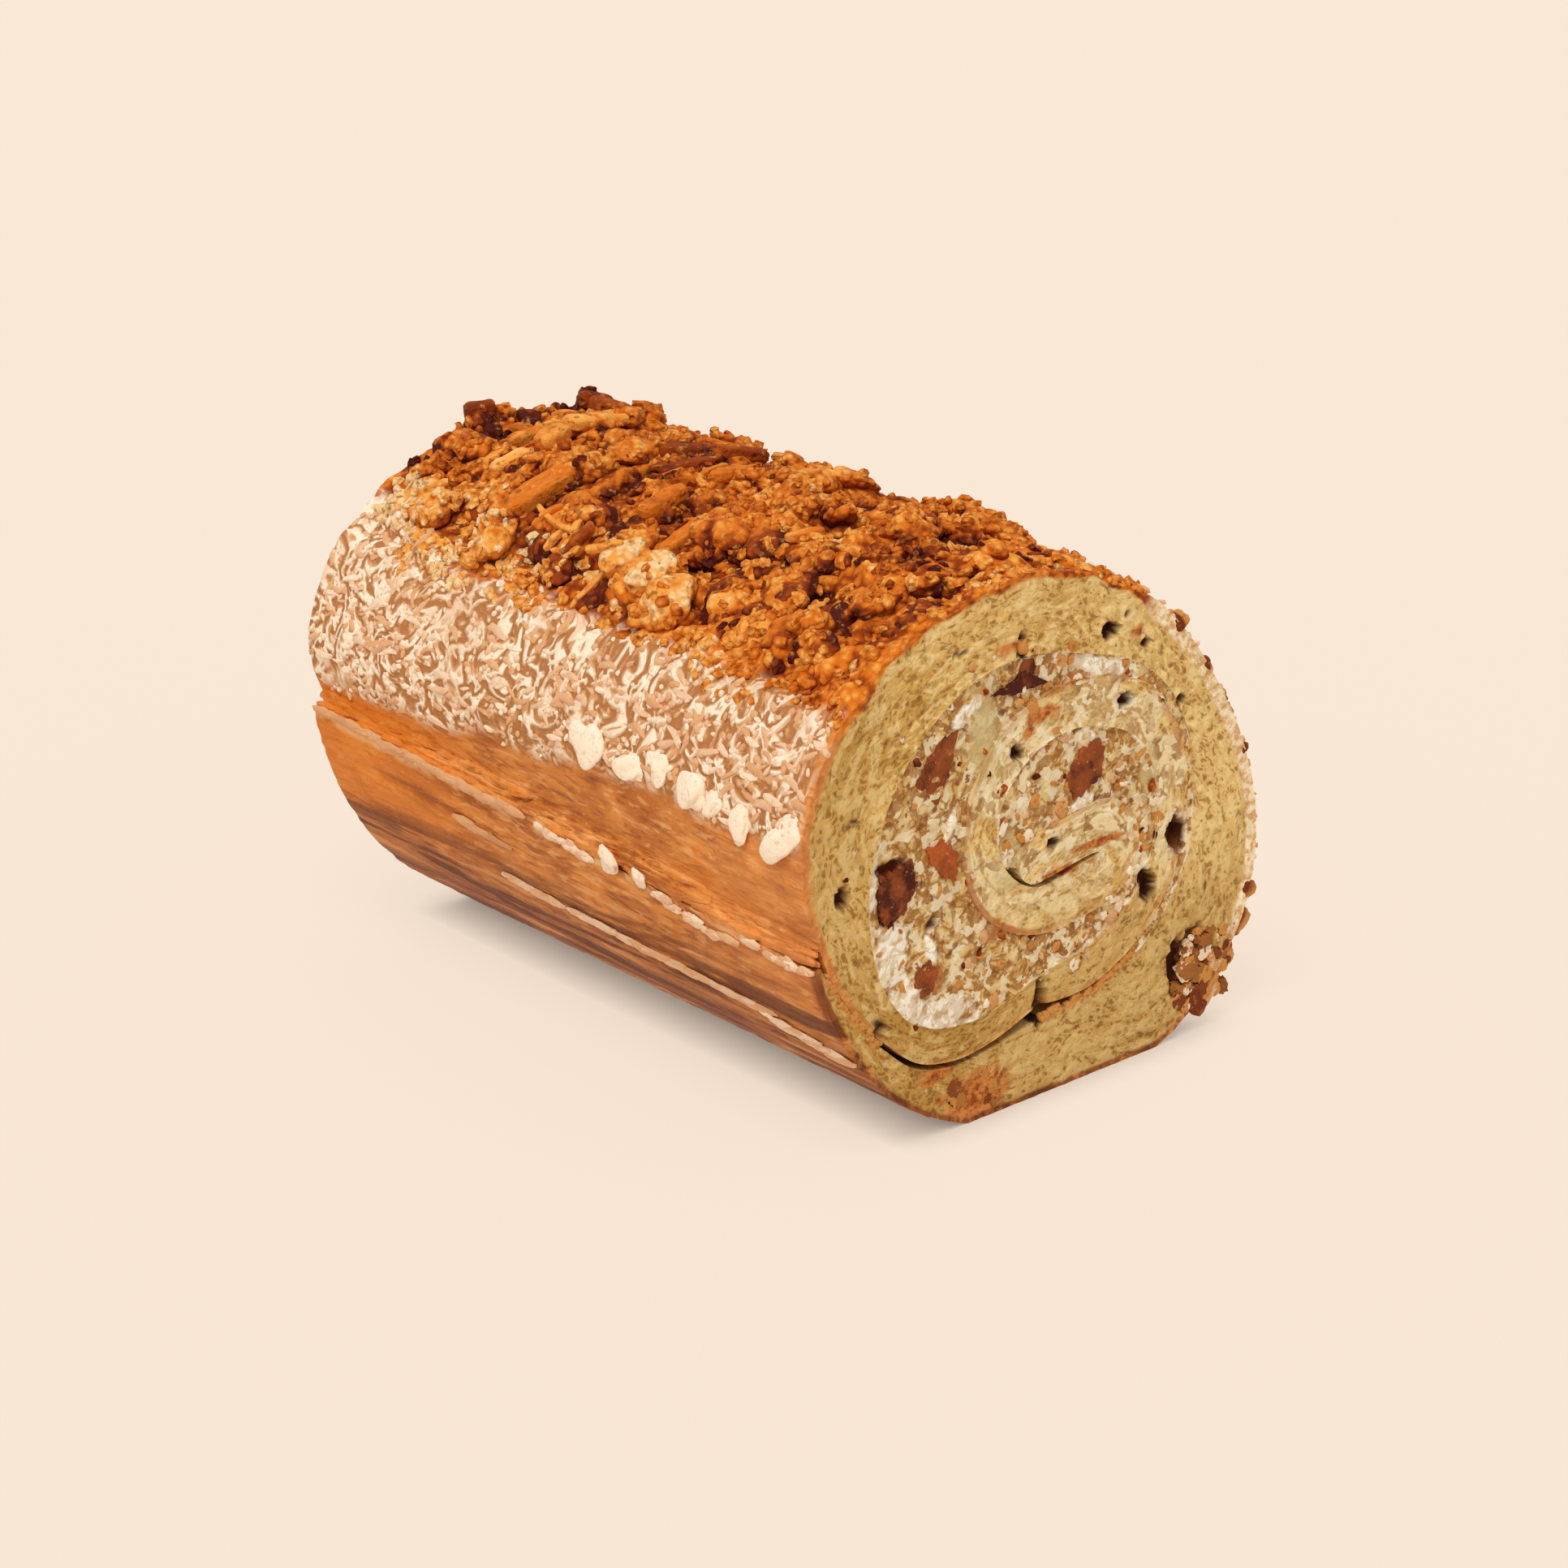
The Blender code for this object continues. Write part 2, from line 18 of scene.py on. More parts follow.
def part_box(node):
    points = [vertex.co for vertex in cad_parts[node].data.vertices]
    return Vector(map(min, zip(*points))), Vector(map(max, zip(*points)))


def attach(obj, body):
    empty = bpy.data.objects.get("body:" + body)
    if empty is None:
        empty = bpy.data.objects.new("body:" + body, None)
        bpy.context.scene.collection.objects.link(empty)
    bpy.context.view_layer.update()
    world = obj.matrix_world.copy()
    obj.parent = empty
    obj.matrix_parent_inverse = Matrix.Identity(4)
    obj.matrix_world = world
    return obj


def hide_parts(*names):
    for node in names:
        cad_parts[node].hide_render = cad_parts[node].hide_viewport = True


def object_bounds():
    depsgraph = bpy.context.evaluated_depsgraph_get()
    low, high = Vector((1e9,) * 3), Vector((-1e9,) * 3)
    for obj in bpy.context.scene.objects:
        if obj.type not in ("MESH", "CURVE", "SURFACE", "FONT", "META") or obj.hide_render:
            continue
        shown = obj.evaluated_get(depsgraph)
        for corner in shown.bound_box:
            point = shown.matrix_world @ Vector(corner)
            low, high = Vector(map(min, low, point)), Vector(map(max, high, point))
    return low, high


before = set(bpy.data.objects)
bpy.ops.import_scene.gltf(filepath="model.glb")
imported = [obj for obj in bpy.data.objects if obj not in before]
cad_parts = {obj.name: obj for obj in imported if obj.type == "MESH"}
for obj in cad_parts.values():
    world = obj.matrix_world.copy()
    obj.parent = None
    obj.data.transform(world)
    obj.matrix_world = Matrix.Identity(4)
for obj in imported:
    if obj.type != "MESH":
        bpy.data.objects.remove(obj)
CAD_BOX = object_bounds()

MM = 0.001
NEAR_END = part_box("sponge_sheet")[0].y
FAR_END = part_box("sponge_sheet")[1].y
LENGTH = FAR_END - NEAR_END
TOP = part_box("sponge_sheet")[1].z
print("nodes:", len(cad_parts), " length mm:", round(LENGTH / MM, 1), " top mm:", round(TOP / MM, 1))

# %% [markdown]
# ## Small helpers
# Operators act on whatever is selected, so each piece starts with nothing selected.
# Colours are written as the eye sees them, 0 to 255, and changed to linear light here. A Paint
# builds a material's nodes, one call for each node.


# %% Helpers for selecting, shading and colour
def nothing_selected():
    if bpy.context.object and bpy.context.object.mode != "OBJECT":
        bpy.ops.object.mode_set(mode="OBJECT")
    bpy.ops.object.select_all(action="DESELECT")


def edit_everything():
    """Edit mode with the whole piece selected."""
    bpy.ops.object.mode_set(mode="EDIT")
    bpy.ops.mesh.select_all(action="SELECT")


def only(piece):
    nothing_selected()
    piece.select_set(True)
    bpy.context.view_layer.objects.active = piece


def colour(red, green, blue):
    shades = [c / 255 for c in (red, green, blue)]
    return tuple(s / 12.92 if s <= 0.04045 else ((s + 0.055) / 1.055) ** 2.4 for s in shades) + (1.0,)


def ease(share):
    """0 to 1 with a soft start and end."""
    held = min(max(share, 0.0), 1.0)
    return held * held * (3.0 - 2.0 * held)


def band(value, low, high, soft):
    """1 between low and high, fading to 0 over soft outside them."""
    return ease((value - low) / soft + 0.5) * ease((high - value) / soft + 0.5)


def wave(x, y, z):
    """A smooth random wave through space, about -1 to 1."""
    return noise.noise(Vector((x, y, z)))


def attribute(piece, name, values):
    """Stores one number for each point of a piece, for its material to read."""
    layer = piece.data.attributes.new(name, "FLOAT", "POINT")
    layer.data.foreach_set("value", np.asarray(values, np.float32))


def mesh_piece(name, points, faces):
    mesh = bpy.data.meshes.new(name)
    mesh.from_pydata(points, [], faces)
    mesh.update()
    piece = bpy.data.objects.new(name, mesh)
    bpy.context.scene.collection.objects.link(piece)
    return piece


# %% Node helpers
class Paint:
    """Builds one node tree: each call adds a node and wires what it is given."""

    def __init__(self, tree):
        self.tree = tree

    def node(self, kind, wires=None, **settings):
        made = self.tree.nodes.new(kind)
        for name, value in settings.items():
            setattr(made, name, value)
        for socket, value in (wires or {}).items():
            if isinstance(value, bpy.types.NodeSocket):
                self.tree.links.new(value, made.inputs[socket])
            else:
                made.inputs[socket].default_value = value
        return made

    def fact(self, name):
        return self.node("ShaderNodeAttribute", attribute_name=name).outputs["Fac"]

    def maths(self, operation, *values, clamp=False):
        wires = dict(enumerate(values))
        return self.node("ShaderNodeMath", wires, operation=operation, use_clamp=clamp).outputs[0]

    def times(self, first, second):
        return self.maths("MULTIPLY", first, second)

    def ramp(self, value, low, high):
        wires = {"Value": value, "From Min": low, "From Max": high}
        return self.node("ShaderNodeMapRange", wires, interpolation_type="SMOOTHSTEP").outputs[0]

    def mix(self, share, first, second, blend="MIX"):
        made = self.node("ShaderNodeMix", data_type="RGBA", blend_type=blend)
        for socket, value in (("Factor_Float", share), ("A_Color", first), ("B_Color", second)):
            place = next(s for s in made.inputs if s.identifier == socket)
            if isinstance(value, bpy.types.NodeSocket):
                self.tree.links.new(value, place)
            else:
                place.default_value = value
        return next(s for s in made.outputs if s.identifier == "Result_Color")

    def noise(self, where, scale, detail=3.0, rough=0.55, warp=0.0):
        wires = {"Vector": where, "Scale": scale, "Detail": detail, "Roughness": rough, "Distortion": warp}
        return self.node("ShaderNodeTexNoise", wires).outputs[0]

    def layers(self, base, *steps):
        """A colour with others laid over it. Each step is (where it lies, how much at most, colour)."""
        for share, most, shade in steps:
            base = self.mix(self.times(share, most), base, colour(*shade))
        return base

    def axis(self, where, letter):
        return self.node("ShaderNodeSeparateXYZ", {"Vector": where}).outputs[letter]

    def cells(self, where, scale):
        return self.node("ShaderNodeTexVoronoi", {"Vector": where, "Scale": scale}).outputs

    def stretched(self, where, x, y, z):
        return self.node("ShaderNodeMapping", {"Vector": where, "Scale": (x, y, z)}).outputs[0]

    def placed(self, group, **wires):
        return self.node("ShaderNodeGroup", wires, node_tree=group).outputs


def new_material(name, roughness, specular):
    made = bpy.data.materials.new(name)
    made.use_nodes = True
    paint = Paint(made.node_tree)
    shader = made.node_tree.nodes["Principled BSDF"]
    shader.inputs["Roughness"].default_value = roughness
    shader.inputs["Specular IOR Level"].default_value = specular
    where = paint.node("ShaderNodeTexCoord").outputs["Object"]
    return made, paint, shader, where


def finish(paint, shader, shade, height, strength, distance):
    """Gives a material its colour and its bump."""
    paint.tree.links.new(shade, shader.inputs["Base Color"])
    wires = {"Height": height, "Strength": strength, "Distance": distance}
    made = paint.node("ShaderNodeBump", wires)
    paint.tree.links.new(made.outputs["Normal"], shader.inputs["Normal"])


# %% [markdown]
# ## Camera, floor and light
# The photograph was taken from the left, a little above, with a long lens. The lens and the place
# come from fitting the roll's outline. The floor is wide enough to fill the view and glows a little,
# so that the background is one even pale cream. Where something covers the floor closely, its glow
# fades, which gives the tight soft shadow under the roll. The light is a bright even sky with a broad
# lamp, above and to the left.

# %% The camera
FRAME_PIXELS = 1932
FOCAL_PIXELS = 4630.0
SENSOR = 36.0
CAMERA_AZIMUTH = -40.34
CAMERA_ELEVATION = 20.99
CAMERA_ROLL = -0.80
CAMERA_DISTANCE = 0.5724
CAMERA_TARGET = Vector((0.0024, 0.0, 0.0309))

azimuth, elevation = math.radians(CAMERA_AZIMUTH), math.radians(CAMERA_ELEVATION)
back = Vector((
    math.sin(azimuth) * math.cos(elevation),
    -math.cos(azimuth) * math.cos(elevation),
    math.sin(elevation),
))
lens = bpy.data.cameras.new("Camera")
lens.lens = FOCAL_PIXELS / FRAME_PIXELS * SENSOR
lens.sensor_width = SENSOR
lens.clip_start = 0.02
camera = bpy.data.objects.new("Camera", lens)
bpy.context.scene.collection.objects.link(camera)
tilt = Matrix.Rotation(math.radians(CAMERA_ROLL), 3, back)
camera.rotation_euler = (tilt @ (-back).to_track_quat("-Z", "Y").to_matrix()).to_euler()
camera.location = CAMERA_TARGET + back * CAMERA_DISTANCE
bpy.context.scene.camera = camera
print("camera at", [round(c, 3) for c in camera.location], " lens mm:", round(lens.lens, 1))

# %% The floor
FLOOR_SIZE = 6.0
FLOOR_GLOW = 0.82
CONTACT_REACH = 0.006
CONTACT_CURVE = 0.46
nothing_selected()
bpy.ops.mesh.primitive_plane_add(size=FLOOR_SIZE, location=(0, 0, 0))
floor = bpy.context.object
floor.name = "floor"
floor_paint, paint, shader, _ = new_material("floor_paint", 0.9, 0.1)
shader.inputs["Base Color"].default_value = colour(108, 100, 92)
shader.inputs["Emission Color"].default_value = colour(249, 231, 213)
openness = paint.node("ShaderNodeAmbientOcclusion", {"Distance": CONTACT_REACH}).outputs["AO"]
glow = paint.times(paint.maths("POWER", openness, CONTACT_CURVE), FLOOR_GLOW)
paint.tree.links.new(glow, shader.inputs["Emission Strength"])
floor.data.materials.append(floor_paint)

# %% The light
SKY_STRENGTH = 0.60
SUN_STRENGTH = 1.85
SUN_FROM = Vector((-0.45, -0.30, 1.0))
SUN_SOFTNESS = 32

world = bpy.data.worlds.new("studio")
world.use_nodes = True
sky = world.node_tree.nodes["Background"]
sky.inputs["Color"].default_value = (1.0, 0.995, 0.985, 1.0)
sky.inputs["Strength"].default_value = SKY_STRENGTH
bpy.context.scene.world = world
bpy.context.scene.view_settings.view_transform = "Standard"

lamp = bpy.data.lights.new("soft_sun", "SUN")
lamp.energy = SUN_STRENGTH
lamp.angle = math.radians(SUN_SOFTNESS)
lamp.color = (1.0, 0.985, 0.96)
sun = bpy.data.objects.new("soft_sun", lamp)
sun.rotation_euler = SUN_FROM.to_track_quat("Z", "Y").to_euler()
bpy.context.scene.collection.objects.link(sun)
print("sun from", [round(c, 2) for c in SUN_FROM])

# %% [markdown]
# ## The roll's section
# The section is a round that has sagged under its own weight and is flat where it rests. Inside it
# the sheet winds towards an eye. Angles run on from turn to turn: 0 is right, 90 is up, and the
# sheet's outer edge, its tail, lies low on the left. For each angle two distances from the eye say
# where the sheet's skin side and its cream side are.

# %% Sizes of the section, in mm and degrees
ROUND_RADIUS = 42.5
ROUND_CENTRE = (0.0, 37.33)
SAG = ((2, 1.37, -3.08), (3, 0.06, -0.83), (4, -0.33, -0.66))
EYE = (5.1, 40.0)
TAIL_ANGLE = 190
TAIL_THICKNESS = 1.4
SEAM_GAP = 0.7
TAIL_FEATHER_END = 215
SEAM_ANGLE = TAIL_ANGLE + 360
LAST_ANGLE = 990
FOLD_ANGLES = 200
SINK_SPAN = 16
# The tail's edge and the seam lie this many degrees higher at the far end, and the sheet beside
# them follows over these spans
TAIL_TWIST = 9
TWIST_SPANS = (45, 22)
CREAM_SIDE = (
    (215, 41.8), (225, 40.3), (235, 37.0), (243, 33.6), (252, 30.6), (262, 28.6),
    (280, 27.8), (305, 27.6), (330, 27.3), (360, 26.2), (405, 25.8), (435, 25.2),
    (450, 26.1), (470, 29.2), (490, 32.4), (515, 35.2), (540, 37.2), (560, 37.6),
    (572, 36.8), (582, 34.6), (592, 31.0), (602, 26.8), (614, 22.6), (628, 20.6),
    (650, 20.2), (680, 19.8), (720, 18.4), (750, 17.6), (780, 15.4), (810, 14.5),
    (850, 14.2), (880, 14.0), (905, 12.8), (930, 11.0), (960, 8.9), (990, 6.9),
)
SKIN_SIDE = (
    (575, 41.0), (585, 39.4), (595, 35.9), (603, 32.3), (611, 28.9), (618, 26.6),
    (628, 26.2), (640, 26.4), (665, 26.1), (690, 25.7), (720, 24.6), (765, 24.1),
    (780, 22.9), (795, 22.0), (815, 21.6), (845, 21.4), (875, 20.4), (900, 19.4),
    (915, 19.0), (930, 18.2), (945, 17.1), (960, 16.2), (975, 15.5), (990, 15.1),
)
FOLD_TILT = 9
FOLD_RUN = 8.0
FOLD_RADIUS = 8.2
TONGUE_LENGTH = 11.6
TONGUE_THICKNESS = 7.5
FAR_WOBBLE = 0.035
FAR_WOBBLE_PHASE = 195


# %% Curves of the section
HALVINGS = 30


def smooth(stations, angle):
    """The value at an angle on the smooth curve through (angle, value) stations."""
    last = len(stations) - 1
    angle = min(max(angle, stations[0][0]), stations[last][0])
    here = next(i for i in range(last) if angle <= stations[i + 1][0])

    def slope(i):
        before, after = stations[max(i - 1, 0)], stations[min(i + 1, last)]
        return (after[1] - before[1]) / (after[0] - before[0])

    (a, start), (b, end) = stations[here], stations[here + 1]
    span = b - a
    u = (angle - a) / span
    lift = (2 * u ** 3 - 3 * u ** 2 + 1) * start + (3 * u ** 2 - 2 * u ** 3) * end
    lift += (u ** 3 - 2 * u ** 2 + u) * slope(here) * span
    return lift + (u ** 3 - u ** 2) * slope(here + 1) * span


def ray_to_outside(angle):
    """Distance from the eye to the outside of the roll, along a ray at this angle."""
    across, up = math.cos(math.radians(angle)), math.sin(math.radians(angle))
    near, far = 0.0, 2.0 * ROUND_RADIUS
    for _ in range(HALVINGS):
        middle = (near + far) / 2
        x, z = EYE[0] + middle * across, EYE[1] + middle * up
        dx, dz = x - ROUND_CENTRE[0], z - ROUND_CENTRE[1]
        turn = math.atan2(dz, dx)
        radius = ROUND_RADIUS + sum(c * math.cos(n * turn) + s * math.sin(n * turn) for n, c, s in SAG)
        if z > 0.0 and math.hypot(dx, dz) < radius:
            near = middle
        else:
            far = middle
    return near


RAY_STEP = 0.5
RAY_ANGLES = np.arange(0.0, 360.0 + RAY_STEP, RAY_STEP)
RAYS = np.array([ray_to_outside(angle) for angle in RAY_ANGLES])


def outline(angle):
    """The same distance, read from the table of rays, for one angle or many."""
    return np.interp(np.mod(angle, 360.0), RAY_ANGLES, RAYS)


def in_section(angle, distance):
    """The (x, z) that lies at this angle and distance from the eye, in mm."""
    turn = math.radians(angle)
    return (EYE[0] + distance * math.cos(turn), EYE[1] + distance * math.sin(turn))


def in_roll(angle, distance, share):
    """The same place in the roll, in metres, at a share of its length."""
    x, z = in_section(angle, distance)
    return Vector((x * MM, NEAR_END + LENGTH * share, z * MM))


def wobble(angle, far):
    return 1.0 + FAR_WOBBLE * far * math.sin(2 * math.radians(angle - FAR_WOBBLE_PHASE))


def cream_side(angle, far):
    if angle >= TAIL_FEATHER_END:
        return smooth(CREAM_SIDE, angle) * wobble(angle, far)
    full = outline(TAIL_FEATHER_END) - cream_side(TAIL_FEATHER_END, far)
    tail = TAIL_ANGLE - TAIL_TWIST * far
    share = (angle - tail) / (TAIL_FEATHER_END - tail)
    return outline(angle) - TAIL_THICKNESS - (full - TAIL_THICKNESS) * share


def skin_side(angle, far):
    seam = SEAM_ANGLE - TAIL_TWIST * far
    if angle <= seam:
        sunk = ease((angle - seam + SINK_SPAN) / SINK_SPAN)
        return outline(angle) - sunk * (TAIL_THICKNESS + SEAM_GAP)
    if angle >= SKIN_SIDE[0][0]:
        return smooth(SKIN_SIDE, angle) * wobble(angle, far)
    stations = [(a, skin_side(a, far)) for a in (seam - 8, seam)]
    stations.append((seam + 10, cream_side(seam - 350, far) - SEAM_GAP))
    stations += [(a, r * wobble(a, far)) for a, r in SKIN_SIDE[:2]]
    return smooth(stations, angle)


def fold(far):
    """The folded end of the sheet: (its outer side, its inner side), as points in the section."""
    foot = in_section(LAST_ANGLE, skin_side(LAST_ANGLE, far))
    thick = skin_side(LAST_ANGLE, far) - cream_side(LAST_ANGLE, far)
    lean = math.radians(FOLD_TILT)
    along, up = (math.cos(lean), math.sin(lean)), (-math.sin(lean), math.cos(lean))
    centre = [foot[i] + FOLD_RUN * along[i] + FOLD_RADIUS * up[i] for i in (0, 1)]

    def place(a, b):
        return tuple(centre[i] + a * along[i] + b * up[i] for i in (0, 1))

    def arc(middle, radius, angles):
        turns = [math.radians(angle) for angle in angles]
        return [place(middle[0] + radius * math.cos(t), middle[1] + radius * math.sin(t)) for t in turns]

    top, low = FOLD_RADIUS, FOLD_RADIUS - TONGUE_THICKNESS
    floor_of_slit = thick - FOLD_RADIUS
    tip = (-TONGUE_LENGTH, (top + low) / 2)
    outside = arc((0, 0), FOLD_RADIUS, range(-90, 91, 9)) + [place(-TONGUE_LENGTH, top)]
    outside += arc(tip, TONGUE_THICKNESS / 2, range(105, 181, 15))
    slit = (low - floor_of_slit) / 2
    inside = arc((0, (low + floor_of_slit) / 2), slit, range(-90, 91, 45)) + [place(-TONGUE_LENGTH, low)]
    inside += arc(tip, TONGUE_THICKNESS / 2, range(255, 179, -15))
    return outside, inside


def spread(path, count):
    """The same path with this many points, evenly spaced along it."""
    path = np.array(path, float)
    steps = np.concatenate([[0.0], np.cumsum(np.hypot(*np.diff(path, axis=0).T))])
    places = np.linspace(0.0, steps[-1], count)
    return np.stack([np.interp(places, steps, path[:, i]) for i in (0, 1)], axis=1)


# %% [markdown]
# ## The sponge sheet
# The sheet starts as it is baked: a flat grid, as long as the sheet, whose rows are its thickness,
# extruded once over the roll's length. Only its outer skin is then cut finely, because only that
# shows along the side. A grid keeps the cut ends dense enough for pores, and the hidden inner walls
# stay single long faces. Then each point is carried to its place in the roll.

# %% The flat sheet
TURN_COLUMNS = 620
FOLD_COLUMNS = 70
THICKNESS_ROWS = 20
FIRST_TURN_COLUMNS = 360
SKIN_CUTS = (28, 3)
SKIN_ROW = -0.4999
SMOOTH_ANGLE = math.radians(50)
COLUMNS = TURN_COLUMNS + FOLD_COLUMNS


def flat_sheet(name, columns, rows):
    """A flat grid, one unit square, extruded one unit up."""
    nothing_selected()
    bpy.ops.mesh.primitive_grid_add(x_subdivisions=columns, y_subdivisions=rows, size=1)
    sheet = bpy.context.object
    sheet.name = name
    edit_everything()
    bpy.ops.mesh.extrude_region_move(TRANSFORM_OT_translate={"value": (0, 0, 1)})
    bpy.ops.object.mode_set(mode="OBJECT")
    return sheet


def flat_places(sheet):
    """Each point's place, 0 to 1: along the sheet, through its thickness, and along the roll."""
    flat = np.zeros(len(sheet.data.vertices) * 3)
    sheet.data.vertices.foreach_get("co", flat)
    return flat.reshape(-1, 3) + (0.5, 0.5, 0.0)


def carried(sheet, points, facts):
    """Moves a sheet's points to their places in the roll and stores what its material reads."""
    sheet.data.vertices.foreach_set("co", points.ravel())
    for name, values in facts.items():
        attribute(sheet, name, values)
    sheet.data.update()
    only(sheet)
    edit_everything()
    bpy.ops.mesh.normals_make_consistent(inside=False)
    bpy.ops.object.mode_set(mode="OBJECT")
    bpy.ops.object.shade_smooth_by_angle(angle=SMOOTH_ANGLE)


sponge = flat_sheet("sponge_roll", COLUMNS, THICKNESS_ROWS)
print("flat sheet:", len(sponge.data.vertices), "points,", len(sponge.data.polygons), "faces")


# %% Cut the outer skin finely along the roll
def select_skin_edges(sheet):
    """Selects the edges that run along the roll on the skin side of the first turn."""
    bpy.ops.object.mode_set(mode="OBJECT")
    for part in (sheet.data.vertices, sheet.data.edges, sheet.data.polygons):
        part.foreach_set("select", [False] * len(part))
    points = sheet.data.vertices
    last = FIRST_TURN_COLUMNS / COLUMNS - 0.5 + 1e-5
    for edge in sheet.data.edges:
        a, b = (points[i].co for i in edge.vertices)
        if max(a.y, b.y) < SKIN_ROW and abs(a.x - b.x) < 1e-6 and a.x <= last:
            edge.select = True
    bpy.ops.object.mode_set(mode="EDIT")


bpy.context.tool_settings.mesh_select_mode = (False, True, False)
for cuts in SKIN_CUTS:
    select_skin_edges(sponge)
    bpy.ops.mesh.subdivide(number_cuts=cuts)
bpy.ops.object.mode_set(mode="OBJECT")
bpy.context.tool_settings.mesh_select_mode = (True, False, False)
print("cut sheet:", len(sponge.data.vertices), "points,", len(sponge.data.polygons), "faces")

# %% [markdown]
# The rolled places: one station for each column of the grid, near and far. The first turn takes
# the first columns, the inner turns the next ones and the fold the last. A station holds the skin
# point, the cream point and the angle that it lies at.


# %% Stations along the sheet
def twisted(angles, far):
    """Where the columns lie at this end: the tail's edge and the seam run askew."""
    off_tail, off_seam = abs(angles - TAIL_ANGLE), abs(angles - SEAM_ANGLE)
    share = np.maximum(1.0 - off_tail / TWIST_SPANS[0], 1.0 - off_seam / TWIST_SPANS[1])
    return angles - TAIL_TWIST * far * np.maximum(share, 0.0)


def stations(far):
    first = np.linspace(TAIL_ANGLE, SEAM_ANGLE, FIRST_TURN_COLUMNS + 1)
    rest = np.linspace(SEAM_ANGLE, LAST_ANGLE, TURN_COLUMNS - FIRST_TURN_COLUMNS + 1)[1:]
    angles = twisted(np.concatenate([first, rest]), far)
    skin = [in_section(a, skin_side(a, far)) for a in angles]
    cream = [in_section(a, cream_side(a, far)) for a in angles]
    outside, inside = fold(far)
    skin_end = spread([skin[-1]] + outside, FOLD_COLUMNS + 1)[1:]
    cream_end = spread([cream[-1]] + inside, FOLD_COLUMNS + 1)[1:]
    ends = LAST_ANGLE + np.linspace(0, FOLD_ANGLES, FOLD_COLUMNS + 1)[1:]
    return (
        np.concatenate([np.array(skin), skin_end]),
        np.concatenate([np.array(cream), cream_end]),
        np.concatenate([angles, ends]),
    )


near_skin, near_cream, near_angle = stations(0.0)
far_skin, far_cream, far_angle = stations(1.0)
print("stations:", len(near_angle), " section mm:", near_skin.min(0).round(1), near_skin.max(0).round(1))

# %% [markdown]
# The outside isn't smooth. Along the top a craggy crust stands out, on the left shoulder lies
# a bed of icing, and the bare skin below has creases that run lengthwise. These lifts are real
# relief, and the broad ones are the solid's own.

# %% Broad relief of the skin, as in the solid
CRAG_ANGLES = (56, 152)
CRAG_DEPTH = 1.6
CRAG_SIZE = 9.0
SMALL_CRAGS = 0.45
CRAG_MEAN = 0.25
CRAG_FADE = 12.0
CRAG_AT_ENDS = 0.35
CRAG_END_FADE = 0.083
ICING_ANGLES = (145, 169.5)
ICING_FAR_SPREAD = 6.0
ICING_WAVE = 1.6
ICING_THICKNESS = 0.9
ICING_SLOPES = (4.0, 6.0)


def craggy(point, angle, share):
    """How far the topping strip stands out at a point of the skin, in mm."""
    first, last = CRAG_ANGLES
    if not first < angle % 360 < last:
        return 0.0
    edge = min(angle % 360 - first, last - angle % 360) / CRAG_FADE
    rough = noise.noise(Vector(point) / (CRAG_SIZE * MM)) * 2.0
    rough += noise.noise(Vector(point) / (SMALL_CRAGS * CRAG_SIZE * MM))
    ends = CRAG_AT_ENDS + (1.0 - CRAG_AT_ENDS) * ease(min(share, 1.0 - share) / CRAG_END_FADE)
    return CRAG_DEPTH * ease(edge) * ends * (rough - CRAG_MEAN)


def icing_end(share):
    """The angle of the icing's lower edge."""
    bend = ICING_WAVE * wave(share * 9.0, 5.0, 1.0)
    return ICING_ANGLES[1] + ICING_FAR_SPREAD * ease((share - 0.3) * 1.6) + bend


def icing_bed(angle, share):
    """How far the bed of icing stands out at a place on the skin, in mm."""
    rise = ease((angle % 360 - ICING_ANGLES[0]) / ICING_SLOPES[0])
    return ICING_THICKNESS * rise * ease((icing_end(share) - angle % 360) / ICING_SLOPES[1] + 0.5)


def relief(point, angle, share):
    return craggy(point, angle, share) + icing_bed(angle, share)


# %% Where each kind of surface is
CRUST_ANGLES = (62, 149)
ICING_TOP = 146
COAT_ANGLES = (-36, 64)


def crust_share(angle, share):
    """1 on the browned crumb strip along the top."""
    bend = 5.0 * wave(share * 7.0, angle * 0.02, 3.0) - 6.0 * ease((share - 0.85) / 0.12)
    return band(angle % 360, CRUST_ANGLES[0], CRUST_ANGLES[1] + bend, 4)


def icing_share(angle, share):
    """1 on the bed of icing on the left shoulder, which is broader towards the far end."""
    bend = 3.0 * wave(share * 9.0, 5.0, 4.0) - 8.0 * ease((share - 0.80) / 0.18)
    return band(angle % 360, ICING_TOP + bend, icing_end(share), 3) * ease(share / 0.02)


def coat_share(angle, share):
    """1 on the thin pale coat of the right side, which the view hardly shows."""
    turn = (angle + 180) % 360 - 180
    bend = 6.0 * wave(share * 8.0, turn * 0.03, 9.0)
    return band(turn, COAT_ANGLES[0] + bend, COAT_ANGLES[1], 8)


# %% [markdown]
# The skin has hollows and dark places: in the topping grooves that run across the far half,
# a crater near the front and smaller pits, and lower down lengthwise cracks. Each is an oval on
# the skin. Inside it the skin sinks and is painted darker: partly a browner crust, partly painted
# shade in the hollow and beside some lumps. A few more are drawn at random where the view doesn't
# reach. Patches of the topping are granular, and the rest is smoother.

# %% Hollows and dark places of the skin
MM_PER_DEGREE = 0.742
MARKED_ANGLES = (55, 225)
